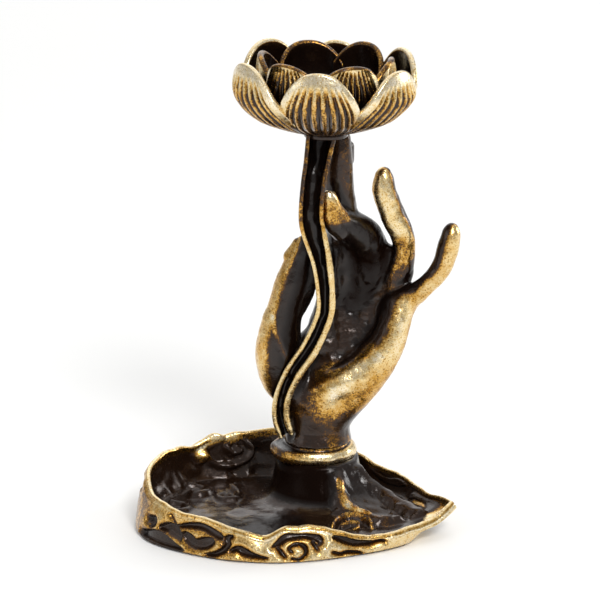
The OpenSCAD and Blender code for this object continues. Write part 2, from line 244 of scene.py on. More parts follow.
@dataclass
class Shape:
    """A mesh in the making: points in millimetres, faces, and how far each point is rubbed bright, painted
    highlights and shade included.
    """

    points: np.ndarray
    faces: list[list[int]]
    rub: np.ndarray

    @staticmethod
    def grid(rings: np.ndarray, rub: np.ndarray, wrap: bool = False) -> "Shape":
        """Skin closed rings of equal count.

        Args:
            rings: Array of rings by points by three.
            rub: Array of rings by points.
            wrap: Whether the last ring joins the first; otherwise both ends are capped.

        Returns:
            The closed shape, with its faces turned outwards.
        """
        rows, cols = rings.shape[:2]
        i, j = np.meshgrid(np.arange(rows if wrap else rows - 1), np.arange(cols), indexing="ij")
        up, over = (i + 1) % rows, (j + 1) % cols
        quads = np.stack([i * cols + j, i * cols + over, up * cols + over, up * cols + j], axis=-1)
        faces = quads.reshape(-1, 4).tolist()
        if not wrap:
            faces.append(list(range(cols))[::-1])
            faces.append(list(range((rows - 1) * cols, rows * cols)))
        return Shape(rings.reshape(-1, 3), faces, rub.reshape(-1)).outward()

    @staticmethod
    def turned(profile: Points, centre: Place, rub: float, sides: int = 96) -> "Shape":
        """Turn a closed profile of radius and height about an upright axis.

        Args:
            profile: Radius and height of each corner.
            centre: Foot of the axis.
            rub: How far the whole piece is rubbed bright.
            sides: Number of steps round the axis.

        Returns:
            The closed ring.
        """
        p = np.array(profile)
        angle = 2 * math.pi * np.arange(sides) / sides
        rings = np.stack([p[None, :, 0] * np.cos(angle)[:, None] + centre[0],
                          p[None, :, 0] * np.sin(angle)[:, None] + centre[1],
                          np.broadcast_to(p[None, :, 1] + centre[2], (sides, len(p)))], axis=-1)
        return Shape.grid(rings, np.full(rings.shape[:2], rub), wrap=True)

    def outward(self) -> "Shape":
        """Turn all faces round if they enclose a negative volume.

        Returns:
            The shape itself.
        """
        corners = self.points[np.array([f[:4] if len(f) >= 4 else f + f[-1:] for f in self.faces])]
        a, b, c, d = (corners[:, k] for k in range(4))
        volume = np.einsum("ij,ij->", a, np.cross(b, c)) + np.einsum("ij,ij->", a, np.cross(c, d))
        if volume < 0:
            self.faces = [f[::-1] for f in self.faces]
        return self

    def plus(self, other: "Shape") -> "Shape":
        """Join another shape to this one as a second shell.

        Args:
            other: The shape to add.

        Returns:
            Both shells as one shape.
        """
        shift = len(self.points)
        moved = [[k + shift for k in f] for f in other.faces]
        return Shape(np.vstack([self.points, other.points]), self.faces + moved,
                     np.concatenate([self.rub, other.rub]))

    def to_object(self, name: str) -> bpy.types.Object:
        """Write the shape to a smooth mesh object in metres.

        Args:
            name: Name of the object and its mesh.

        Returns:
            The new object, linked to the scene.
        """
        mesh = bpy.data.meshes.new(name)
        mesh.from_pydata((self.points * MM).tolist(), [], self.faces)
        store(mesh, "rub", self.rub)
        mesh.shade_smooth()
        return add_object(name, mesh)


@dataclass(frozen=True)
class AntiqueBrass:
    """Cast brass, blackened and then rubbed back by hand.

    Hollows keep a dark satin patina, edges and swellings show bright metal, and the change between
    them is a fine speckle. Below zero the value is painted shade: the patina shows darkest and its
    sheen and coat are turned down.
    """

    name: str
    patina: str = "#140a06"
    brown: str = "#362316"
    bronze: str = "#7e5722"
    gold: str = "#cb9a44"
    pale: str = "#e6cd96"
    bright: str = "#fdf3dd"
    # The real speckle is finer; this is as fine as the render shows.
    speck_mm: float = 0.3
    blotch_mm: float = 1.7
    pit_mm: float = 0.7
    bump_mm: float = 0.15
    coat: float = 0.24
    coat_roughness: float = 0.14
    specular: float = 0.46
    # One brightness and patchiness for a piece that has no rub attribute
    even_rub: float | None = None
    even_patch: float = 0.76

    @staticmethod
    def patchiness(tree: bpy.types.NodeTree, rub: bpy.types.NodeSocket) -> bpy.types.NodeSocket:
        """Make half-rubbed places the most patchy.

        Args:
            tree: Node tree of the material.
            rub: How far the surface is rubbed bright.

        Returns:
            How strongly the speckle shows.
        """
        strength = put(tree, "ShaderNodeFloatCurve", {"Value": rub})
        curve = strength.mapping.curves[0]
        for spot in ((0.18, 0.2), (0.36, 0.95), (0.5, 0.7), (0.66, 0.4)):
            curve.points.new(*spot)
        curve.points[0].location, curve.points[-1].location = (0.0, 0.1), (1.0, 0.42)
        strength.mapping.update()
        return strength.outputs["Value"]

    def tone(self, tree: bpy.types.NodeTree, worn: bpy.types.NodeSocket) -> bpy.types.NodeSocket:
        """Colour the metal from black patina to bright brass.

        Args:
            tree: Node tree of the material.
            worn: How far the patina is off, from 0 to 1.

        Returns:
            The colour.
        """
        ramp = put(tree, "ShaderNodeValToRGB", {"Fac": worn})
        stops = ((0.0, self.patina), (0.24, self.brown), (0.38, self.bronze), (0.53, self.gold),
                 (0.72, self.pale), (0.94, self.bright))
        while len(ramp.color_ramp.elements) < len(stops):
            ramp.color_ramp.elements.new(0.5)
        for element, (place, code) in zip(ramp.color_ramp.elements, stops):
            element.position = place
            element.color = linear(code)
        return ramp.outputs["Color"]

    def make(self) -> bpy.types.Material:
        """Build the material.

        Returns:
            The material, which reads the piece's rub attribute or the one even value.
        """
        material, tree, shader = new_material(self.name)
        shader.inputs["Coat Roughness"].default_value = self.coat_roughness
        spot = put(tree, "ShaderNodeTexCoord").outputs["Object"]
        speck, blotch, pit = (
            put(tree, "ShaderNodeTexNoise", {"Vector": spot, "Scale": 1 / (size * MM), "Detail": detail})
            .outputs["Fac"]
            for size, detail in ((self.speck_mm, 2.0), (self.blotch_mm, 3.0), (self.pit_mm, 4.0)))
        gloss = {"Coat Weight": self.coat, "Specular IOR Level": self.specular}
        if self.even_rub is None:
            rub = put(tree, "ShaderNodeAttribute", attribute_name="rub").outputs["Fac"]
            strength = self.patchiness(tree, rub)
            # Below zero the value is painted shade and turns sheen and coat down.
            for name, most in gloss.items():
                sheen = put(tree, "ShaderNodeMapRange", {"Value": rub, "From Min": -0.25, "From Max": 0.1,
                                                         "To Min": 0.02, "To Max": most})
                tree.links.new(sheen.outputs["Result"], shader.inputs[name])
        else:
            rub, strength = self.even_rub, self.even_patch
            for name, most in gloss.items():
                shader.inputs[name].default_value = most
        patchy = put(tree, "ShaderNodeMath", {0: blotch, 1: 0.8, 2: -0.8}, operation="MULTIPLY_ADD")
        patchy = put(tree, "ShaderNodeMath", {0: speck, 1: 0.8, 2: patchy.outputs[0]},
                     operation="MULTIPLY_ADD")
        worn = put(tree, "ShaderNodeMath", {0: patchy.outputs[0], 1: strength, 2: rub},
                   operation="MULTIPLY_ADD")
        fleck = put(tree, "ShaderNodeMapRange", {"Value": speck, "From Min": 0.28, "From Max": 0.4,
                                                 "To Min": 0.3, "To Max": 0.0})
        worn = put(tree, "ShaderNodeMath", {0: worn.outputs[0], 1: fleck.outputs["Result"]},
                   operation="SUBTRACT", use_clamp=True).outputs[0]
        metal = put(tree, "ShaderNodeMapRange", {"Value": worn, "From Min": 0.08, "From Max": 0.4,
                                                 "To Min": 0.2, "To Max": 1.0}).outputs["Result"]
        rough = put(tree, "ShaderNodeMapRange", {"Value": pit, "From Min": 0.3, "From Max": 0.7,
                                                 "To Min": 0.1, "To Max": 0.24})
        rough = put(tree, "ShaderNodeMath", {0: metal, 1: 0.1, 2: rough.outputs["Result"]},
                    operation="MULTIPLY_ADD")
        height = put(tree, "ShaderNodeMath", {0: speck, 1: 0.4, 2: pit}, operation="MULTIPLY_ADD")
        bump = put(tree, "ShaderNodeBump", {"Strength": 0.5, "Distance": self.bump_mm * MM,
                                            "Height": height.outputs[0]})
        for name, socket in {"Base Color": self.tone(tree, worn), "Metallic": metal,
                             "Roughness": rough.outputs[0], "Normal": bump.outputs["Normal"]}.items():
            tree.links.new(socket, shader.inputs[name])
        return material


@dataclass(frozen=True)
class PlatedSteel:
    """Zinc-plated turned steel: pale grey with a faint bluish cloud and fine turning marks."""

    name: str
    pale: str = "#b9bcbf"
    dull: str = "#8d9093"
    cloud_mm: float = 1.5
    mark_mm: float = 0.25
    bump_mm: float = 0.03

    def make(self) -> bpy.types.Material:
        """Build the material.

        Returns:
            The material.
        """
        material, tree, shader = new_material(self.name)
        shader.inputs["Metallic"].default_value = 1.0
        spot = put(tree, "ShaderNodeTexCoord").outputs["Object"]
        cloud, mark = (
            put(tree, "ShaderNodeTexNoise", {"Vector": spot, "Scale": 1 / (size * MM), "Detail": detail})
            .outputs["Fac"]
            for size, detail in ((self.cloud_mm, 3.0), (self.mark_mm, 1.0)))
        tone = put(tree, "ShaderNodeMix", {0: cloud, 6: linear(self.dull), 7: linear(self.pale)},
                   data_type="RGBA")
        rough = put(tree, "ShaderNodeMapRange", {"Value": cloud, "To Min": 0.25, "To Max": 0.5})
        bump = put(tree, "ShaderNodeBump", {"Strength": 0.2, "Distance": self.bump_mm * MM, "Height": mark})
        for name, socket in {"Base Color": tone.outputs[2], "Roughness": rough.outputs["Result"],
                             "Normal": bump.outputs["Normal"]}.items():
            tree.links.new(socket, shader.inputs[name])
        return material


@dataclass
class Finishes:
    """All materials of the burner, made once."""

    antique: bpy.types.Material
    rubbed: bpy.types.Material
    steel: bpy.types.Material


def settle(piece: bpy.types.Object, body: Body, slot: Slot, material: bpy.types.Material,
           *nodes: str) -> None:
    """Give a piece its material and tie it to the frame.

    Args:
        piece: The finished object.
        body: Body that it moves with.
        slot: Finish slot of the record; not used.
        material: Material of the whole piece.
        nodes: CAD nodes that it stands for.
    """
    piece.data.materials.clear()
    piece.data.materials.append(material)
    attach(piece, body.value)
    if nodes:
        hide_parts(*nodes)
    LOG.info("%s: %d faces", piece.name, len(piece.data.polygons))


def new_tree(name: str, inputs: dict[str, str]) -> tuple[bpy.types.NodeTree, Any]:
    """Start a Geometry Nodes tree.

    Args:
        name: Name of the tree.
        inputs: Name of each input after the geometry, against the kind of its socket.

    Returns:
        The tree, and the sockets that give its inputs.
    """
    tree = bpy.data.node_groups.new(name, "GeometryNodeTree")
    for label, kind in {"Geometry": "Geometry", **inputs}.items():
        tree.interface.new_socket(label, in_out="INPUT", socket_type="NodeSocket" + kind)
    tree.interface.new_socket("Geometry", in_out="OUTPUT", socket_type="NodeSocketGeometry")
    return tree, put(tree, "NodeGroupInput").outputs


def end_tree(tree: bpy.types.NodeTree, made: bpy.types.NodeSocket, brass: bpy.types.NodeSocket) -> None:
    """Close a Geometry Nodes tree.

    Args:
        tree: The tree.
        made: Geometry that it has made.
        brass: Material for it.
    """
    plain = put(tree, "GeometryNodeRealizeInstances", {0: made})
    dressed = put(tree, "GeometryNodeSetMaterial", {"Geometry": plain.outputs[0], "Material": brass})
    put(tree, "NodeGroupOutput", {"Geometry": dressed.outputs[0]})


def grown(name: str, mesh: bpy.types.Mesh, tree: bpy.types.NodeTree,
          values: dict[str, Any]) -> bpy.types.Object:
    """Run a tree over a mesh and keep what it makes as a plain mesh object.

    Args:
        name: Name of the plain object.
        mesh: What the tree starts from.
        tree: The Geometry Nodes tree.
        values: Its inputs by name.

    Returns:
        The plain object.
    """
    maker = add_object(name + "_maker", mesh)
    modifier = maker.modifiers.new(tree.name, "NODES")
    modifier.node_group = tree
    for item in tree.interface.items_tree:
        if item.item_type == "SOCKET" and item.in_out == "INPUT" and item.name in values:
            modifier[item.identifier] = values[item.name]
    seen = maker.evaluated_get(bpy.context.evaluated_depsgraph_get())
    plain = bpy.data.meshes.new_from_object(seen)
    plain.name = name
    bpy.data.objects.remove(maker)
    return add_object(name, plain)


class Clay:
    """A block of distances to a surface, into which round limbs are blended."""

    REACH = 4.0
    STEP = 0.3

    def __init__(self, low: Place, high: Place, voxel: float) -> None:
        """Lay out an empty block.

        Args:
            low: Lowest corner in millimetres.
            high: Highest corner.
            voxel: Spacing of the samples.
        """
        self.low = np.array(low)
        self.voxel = voxel
        count = np.ceil((np.array(high) - self.low) / voxel).astype(int) + 1
        self.axes = [self.low[k] + voxel * np.arange(count[k]) for k in range(3)]
        self.field = np.full(tuple(count), self.REACH, dtype=np.float32)

    def span(self, low: np.ndarray, high: np.ndarray) -> tuple[slice, slice, slice]:
        """Find the samples inside a box.

        Args:
            low: Lowest corner of the box.
            high: Its highest corner.

        Returns:
            A slice of each axis.
        """
        size = self.field.shape
        first = np.clip(np.floor((low - self.low) / self.voxel).astype(int), 0, size)
        last = np.clip(np.ceil((high - self.low) / self.voxel).astype(int) + 1, 0, size)
        return tuple(slice(a, b) for a, b in zip(first, last))

    def limb(self, line: np.ndarray) -> np.ndarray:
        """Measure distances to a limb of round cones.

        Args:
            line: Points of x, y, z and radius.

        Returns:
            A block as large as the whole, with the reach where the limb is far.
        """
        near = np.full(self.field.shape, self.REACH, dtype=np.float32)
        for a, b in zip(line[:-1], line[1:]):
            grow = max(a[3], b[3]) + self.REACH
            box = self.span(np.minimum(a[:3], b[:3]) - grow, np.maximum(a[:3], b[:3]) + grow)
            x, y, z = np.meshgrid(*(axis[s] for axis, s in zip(self.axes, box)), indexing="ij", sparse=True)
            dx, dy, dz = x - a[0], y - a[1], z - a[2]
            run = b[:3] - a[:3]
            t = np.clip((dx * run[0] + dy * run[1] + dz * run[2]) / max(run @ run, 1e-9), 0, 1)
            gap = np.sqrt((dx - t * run[0]) ** 2 + (dy - t * run[1]) ** 2 + (dz - t * run[2]) ** 2)
            near[box] = np.minimum(near[box], gap - (a[3] + t * (b[3] - a[3])))
        return near

    @staticmethod
    def joined(a: np.ndarray, b: np.ndarray, blend: float) -> np.ndarray:
        """Unite two blocks of distances with a soft seam."""
        h = np.clip(blend - np.abs(a - b), 0, None) / blend
        return np.minimum(a, b) - h * h * h * blend / 6

    @staticmethod
    def carved(a: np.ndarray, b: np.ndarray, blend: float) -> np.ndarray:
        """Take block b out of block a with a soft edge."""
        return -Clay.joined(-a, b, blend)

    def at(self, points: np.ndarray) -> np.ndarray:
        """Read the distance at points between the samples.

        Args:
            points: Points in millimetres, one row each.

        Returns:
            The distance at each point.
        """
        q = np.clip((points - self.low) / self.voxel, 0, np.array(self.field.shape) - 1.001)
        i = q.astype(int)
        total = np.zeros(len(points))
        for corner, weight in cell_corners(q - i):
            k = i + corner
            total += weight * self.field[k[:, 0], k[:, 1], k[:, 2]]
        return total

    def normals(self, points: np.ndarray) -> np.ndarray:
        """Read the outward direction at points on the surface."""
        slope = np.stack([self.at(points + axis) - self.at(points - axis)
                          for axis in self.STEP * np.eye(3)], axis=1)
        return slope / np.maximum(np.linalg.norm(slope, axis=1, keepdims=True), 1e-6)

    def openness(self, points: np.ndarray, normals: np.ndarray) -> np.ndarray:
        """Tell how far the space in front of each point is free, from 0 in a hollow to 1."""
        reach = (0.8, 1.6, 2.6, 3.6)
        return np.mean([np.clip(self.at(points + normals * r) / r, 0, 1) for r in reach], axis=0)

    def surface(self) -> tuple[np.ndarray, list[list[int]]]:
        """Draw the surface of the block.

        Returns:
            Points in millimetres and four-sided faces.
        """
        grid = openvdb.FloatGrid(self.REACH)
        grid.copyFromArray(self.field)
        points, quads = grid.convertToQuads(0.0)
        return points * self.voxel + self.low, quads.tolist()


@dataclass
class Hand:
    """Slender left hand, cast in one with its wrist."""

    LIMBS: ClassVar[tuple[str, ...]] = (
        "wrist", "heel", "cushion", "thumb", "fold", "ball",
        "index", "middle", "pad", "web", "ring", "little")

    voxel: float = 0.27
    room: tuple[Place, Place] = ((-11, -3, 11), (35, 22, 83))
    steps: int = 6
    blend: float = 2.6
    bottom: float = 15.35
    # Each limb: x, y, z and radius of the points that it runs through
    wrist: Points = ((4.2, 9.6, 14.2, 7.2), (4.2, 9.6, 16.2, 6.4), (4.2, 9.6, 19, 5.95),
                     (4.5, 9.8, 22.5, 6.0), (5.0, 10.2, 26, 6.1))
    rays: tuple[Points, ...] = (
        ((4.4, 10.4, 21, 5.0), (5.4, 12.4, 30, 4.8), (7.0, 14.2, 40, 4.2), (8.8, 14.6, 48, 3.6),
         (9.4, 13.2, 55, 3.3)),
        ((5.0, 10.6, 21, 5.0), (8.6, 13.2, 31, 4.8), (11.4, 14.9, 41, 4.2), (13.4, 15.0, 49, 3.8),
         (14.4, 13.6, 55, 3.8)),
        ((5.6, 10.4, 22, 4.8), (11.4, 12.6, 31, 4.6), (15.4, 14.3, 40, 3.8), (18.6, 14.4, 46, 3.2),
         (20.8, 12.6, 50.5, 2.8)))
    heel: Points = ((5.0, 9.6, 19.5, 4.6), (10.2, 8.7, 25, 4.4), (15.7, 8.4, 32, 4.2), (19.2, 8.9, 38, 3.5),
                    (21.2, 10.4, 44.2, 3.1))
    cushion: Points = ((2.8, 7.2, 24.5, 3.2), (6.8, 6.8, 27.4, 3.5), (11.2, 7.2, 29.6, 3.6),
                       (15.4, 8.4, 32, 3.7))
    thumb: Points = ((3.2, 10.6, 22, 4.0), (-1.2, 9.0, 27, 4.6), (-3.0, 7.6, 31, 4.9), (-3.8, 6.4, 36, 4.75),
                     (-3.3, 5.8, 41, 4.05), (-2.3, 5.4, 45.5, 3.65), (-0.9, 5.2, 50.5, 3.55),
                     (0.3, 4.8, 54.5, 3.0), (1.2, 4.2, 57.6, 2.3), (1.5, 3.9, 59.2, 1.5))
    index: Points = ((8.8, 14.6, 48, 3.6), (9.4, 12.9, 55.5, 3.5), (9.1, 10.0, 62.8, 3.4),
                     (8.5, 8.0, 68.5, 3.2), (8.5, 7.1, 73.5, 2.85), (8.7, 6.8, 77.4, 2.45),
                     (8.9, 6.8, 79.9, 2.1))
    middle: Points = ((14.4, 15.0, 49.5, 3.6), (14.6, 12.8, 56, 4.0), (12.6, 9.8, 60.0, 3.7),
                      (10.4, 6.4, 62.2, 2.7), (8.6, 3.8, 64.5, 2.1), (7.3, 2.0, 66.9, 1.8),
                      (6.6, 1.1, 68.8, 1.5), (6.3, 0.8, 69.8, 1.05))
    pad: Points = ((8.6, 3.4, 61.4, 1.7), (7.3, 2.0, 63.4, 1.8), (6.5, 1.3, 66.2, 1.6))
    fold: Points = ((-2.0, 9.0, 31, 3.2), (0.8, 10.8, 34.4, 2.8), (3.6, 12.2, 36.6, 2.6),
                    (6.4, 13.4, 38.2, 2.8))
    ball: Points = ((-0.4, 7.0, 45.5, 2.6), (1.0, 6.6, 49.5, 2.9), (1.7, 6.2, 53.0, 2.5),
                    (1.8, 5.6, 56.0, 1.6))
    web: Points = ((15.4, 14.2, 50, 3.2), (17.6, 13.2, 53.2, 2.3), (18.8, 12.2, 55.2, 1.5))
    ring: Points = ((18.6, 14.4, 46, 3.0), (21.2, 12.2, 51, 2.6), (22, 10.8, 56, 2.3), (21.3, 10, 60, 2.5),
                    (19.3, 9.4, 64.4, 2.55), (17.9, 9.2, 68.2, 2.45), (17.6, 9.2, 71.0, 2.15),
                    (17.7, 9.2, 72.3, 1.55))
    little: Points = ((17.6, 13.8, 40.5, 3.2), (21.4, 11.5, 44.7, 2.9), (24.9, 9.2, 47.4, 2.2),
                      (27.7, 8.2, 50.4, 2.0), (29.8, 7.6, 53.6, 2.15), (30.8, 7.4, 57.1, 2.2),
                      (31.3, 7.4, 59.8, 1.9), (31.4, 7.4, 61.2, 1.2))
    nails: tuple[Points, ...] = (
        ((10.3, 8.3, 75.4, 1.3), (10.4, 8.2, 78.2, 1.25)), ((7.7, 2.7, 68.0, 0.85), (7.1, 1.9, 69.8, 0.7)),
        ((17.8, 10.4, 69.4, 1.45), (17.7, 10.2, 72.4, 1.1)), ((31.5, 8.6, 58.2, 1.4), (31.8, 8.5, 61.0, 1.1)),
        ((-0.9, 5.2, 55.8, 1.9), (0.4, 4.4, 58.6, 1.5)))
    # Width of the seam where each limb joins those before it, in the order of joining
    seams: tuple[tuple[str, float], ...] = (
        ("palm", 4.0), ("heel", 2.6), ("cushion", 1.6), ("thumb", 2.6), ("fold", 1.8), ("ball", 1.8),
        ("web", 1.8), ("little", 1.8), ("ring", 1.8), ("middle", 1.8), ("pad", 1.8), ("index", 1.8))
    nail_seam: float = 0.25
    # The stem channel is let into the hand below this height, with this much air
    channel_top: float = 50.0
    channel_gap: float = 0.1
    # Post that stands in the collar: x, y, radius, middle height and half length
    stub: tuple[float, ...] = (4.2, 9.6, 5.4, 14.6, 2.4)
    # Painted highlights, bright streaks that stand in for glints of light: gain, half width, and x and z of
    # their points
    painted_highlights: tuple[tuple[float, float, Points], ...] = (
        (0.38, 2.1, ((7.4, 27.0), (10.5, 29.7), (13.6, 33.0), (15.6, 35.4))),
        (0.4, 0.5, ((-4.9, 44.0), (-4.3, 40.5), (-3.2, 38.0), (-2.2, 35.4))))

    def build(self) -> Shape:
        """Model the hand in clay and draw its skin.

        Returns:
            The hand with its rubbed places.
        """
        clay = Clay(*self.room, self.voxel)
        parts = {name: clay.limb(smooth_line(getattr(self, name), self.steps)) for name in self.LIMBS}
        parts["palm"] = clay.limb(smooth_line(self.rays[0], self.steps))
        for ray in self.rays[1:]:
            parts["palm"] = Clay.joined(parts["palm"], clay.limb(smooth_line(ray, self.steps)), self.blend)
        body = parts["wrist"]
        for name, seam in self.seams:
            body = Clay.joined(body, parts[name], seam)
        for nail in self.nails:
            body = Clay.joined(body, clay.limb(np.array(nail)), self.nail_seam)
        line, _, deep = StemChannel().path()
        low = line[:, 2] < self.channel_top
        for shift in (0.0, 1.5):
            room = np.column_stack([line[low, :3] - shift * deep[low], line[low, 3] / 2 + self.channel_gap])
            body = Clay.carved(body, clay.limb(room), 0.5)
        x, y, z = np.meshgrid(*clay.axes, indexing="ij", sparse=True)
        post_x, post_y, post_r, post_z, post_half = self.stub
        post = np.maximum(np.hypot(x - post_x, y - post_y) - post_r, np.abs(z - post_z) - post_half)
        clay.field = np.minimum(np.maximum(body, self.bottom - z), post).astype(np.float32)
        points, faces = clay.surface()
        normals = clay.normals(points)
        points = points + normals * self.cast_skin(points, normals)[:, None]
        return Shape(points, faces, self.rubbed(clay, parts, points, normals)).outward()

    @staticmethod
    def cast_skin(points: np.ndarray, normals: np.ndarray) -> np.ndarray:
        """Give the slight swelling of the casting, and upright furrows in the palm.

        Args:
            points: Points of the skin.
            normals: Outward directions there.

        Returns:
            How far each point stands out.
        """
        z = points[:, 2]
        swell = 0.16 * lumps(points, 3.6, 3) + 0.07 * lumps(points, 1.3, 4)
        palm = ease(-normals[:, 1], 0.2, 0.7) * ease(z, 25, 33) * (1 - ease(z, 57, 62))
        palm *= ease(points[:, 1], 6.5, 8.5)
        furrow = lumps(points * np.array([1.0, 0.2, 0.14]), 1.5, 5)
        furrow += 0.6 * lumps(points * np.array([1.0, 0.3, 0.4]), 0.9, 6)
        low = 1 - ease(z, 36, 44)
        relief = 0.2 * furrow + 0.12 * lumps(points, 1.1, 8) + 0.3 * low * lumps(points, 2.4, 9)
        return swell + palm * relief

    def rubbed(self, clay: Clay, parts: dict[str, np.ndarray], points: np.ndarray,
               normals: np.ndarray) -> np.ndarray:
        """Work out where handling has rubbed the patina off, and where highlights and shade are painted in.

        Args:
            clay: The finished block.
            parts: Distances to each part of the hand.
            points: Points of the skin.
            normals: Outward directions there.

        Returns:
            One value for each point: below 0 is painted shade, 0 is dark and 1 is bright.
        """
        block = clay.field
        near = {}
        for name, part in parts.items():
            clay.field = part
            near[name] = np.exp(-np.clip(clay.at(points), 0, None) / 0.7)
        clay.field = block
        total = np.maximum(sum(near.values()), 1e-6)
        nx, ny, nz = normals.T
        x, y, z = points.T
        back = ease(ny, 0.2, 0.8)
        front = ease(0.8 * np.abs(ny) + 0.5 * nx * (1 - 2 * ease(z, 56, 62)), -0.2, 0.45)
        cushion = ease(z, 20.5, 24.5) * (1 - ease(z, 31, 34)) * ease(-ny, 0.1, 0.6)
        cushion *= 0.35 + 0.65 * ease(x, 0, 9)
        tip = ease(z, 62.8, 64.8) * (1 - ease(x + 0.5 * (z - 66), 9.2, 10.6)) * (1 + 0.5 * ease(z, 68, 70))
        heel = ease(0.6 * nx - 0.5 * ny - 0.1 * nz + 0.9 * (1 - ease(z, 30, 34)), 0.0, 0.42) * ease(z, 20, 25)
        # The crest term is partly rubbed wear and partly a painted highlight along the heel's ridge.
        crest = ease(0.5 * nx - 0.75 * ny + 0.2 * nz, 0.6, 0.95) * ease(z, 29, 34)
        outside = 0.8 * nx + 0.5 * np.abs(ny) - 0.25 * nz + 0.3 * (1 - ease(z, 49, 54))
        tone = {
            "wrist": 0.16 + 0.17 * ease(nx - 0.5 * ny, 0.1, 0.9) + 0.14 * ease(ny, 0.1, 0.8) + 0.5 * cushion,
            "heel": 0.08 + 0.44 * heel + 0.24 * crest,
            "cushion": 0.06 + 0.46 * ease(-0.8 * ny - 0.1 * nz, 0.0, 0.6) * (0.3 + 0.7 * ease(x, 0, 9)),
            "thumb": 0.05 + 0.57 * ease(-nx - 0.1 * ny, 0.35, 0.75),
            "fold": 0.04 + 0.4 * back,
            "ball": 0.3 * back,
            "index": 0.2 + 0.24 * back,
            "middle": 0.05 + 0.5 * ease(6.0 - y, 0, 3.0) * tip + 0.4 * back,
            "pad": 0.04 + 0.42 * tip,
            "web": 0.05 + 0.4 * back,
            "ring": 0.12 + (0.4 + 0.22 * ease(z, 57, 61)) * front,
            "little": 0.1 + 0.54 * ease(outside, -0.1, 0.5),
            "palm": 0.44 * ease(ny, 0.1, 0.8) + 0.5 * cushion
            # The last term is a painted highlight low in the palm.
            + 0.14 * ease(z, 30, 35) * (1 - ease(z, 41, 47))}
        rub = sum(near[name] * tone[name] for name in near) / total
        rub = np.clip(rub - 0.8 * (1 - clay.openness(points, normals)) + 0.1, 0, 1)
        # Painted shade: the palm hollow, the inner side of the thumb and the middle knuckle are pushed down,
        # below zero where darkest, so they go black and lose their sheen.
        hollow = ease(-ny, 0.1, 0.6) * ease(y, 7.5, 9.5) * (1 - ease(z, 58, 62)) * (1 - ease(rub, 0.08, 0.22))
        painted_shade = hollow * (ease(z, 40, 46) + ease(z, 26, 32) * ease(x - 0.45 * (z - 32), 9, 12)).clip(0, 1)
        inner_thumb_shade = (near["thumb"] + near["ball"]) / total * ease(nx + 0.3 * ny, -0.5, 0.2)
        inner_thumb_shade *= 1 - ease(rub, 0.1, 0.25)
        knuckle_shade = near["middle"] / total * ease(z, 52, 55) * (1 - ease(rub, 0.1, 0.3))
        rub = rub - 0.2 * painted_shade - 0.22 * inner_thumb_shade - 0.14 * knuckle_shade
        # Painted highlights: lighter streaks on forward-facing surface stand in for glints of light.
        highlight_facing = ease(-ny, 0.1, 0.5) * (1 - ease(y, 8, 10)) * (0.75 + 0.25 * lumps(points, 1.4, 10))
        for gain, half, line in self.painted_highlights:
            gap = distance_to(points[:, ::2], np.array(line)) / half
            rub += gain * np.exp(-gap ** 2) * highlight_facing
        return rub

    def dress(self, finishes: Finishes) -> None:
        """Put the hand into the scene."""
        settle(self.build().to_object("hand_cast"), Body.BASE, Slot.ANTIQUE, finishes.antique, "hand")


@dataclass(frozen=True)
class Scroll:
    """One raised line cast inside the dish: x and z of points on the back wall, or x and y on the floor."""

    face: Face
    half: float
    rise: float
    shine: float
    points: Points


@dataclass(frozen=True)
class Outline:
    """Lines that the rings of the dish follow, station by station from the tip by way of the back.

    Rim and foot are the edges of the wall, and middle runs between them with its length in place. Out
    points away from the wall. Away and far lead from the mound to the rim, and likewise to the foot.
    Cove is the reach of the curve between wall and floor.
    """

    rim: np.ndarray
    foot: np.ndarray
    middle: np.ndarray
    place: np.ndarray
    out: np.ndarray
    away: np.ndarray
    far: np.ndarray
    foot_away: np.ndarray
    foot_far: np.ndarray
    cove: np.ndarray


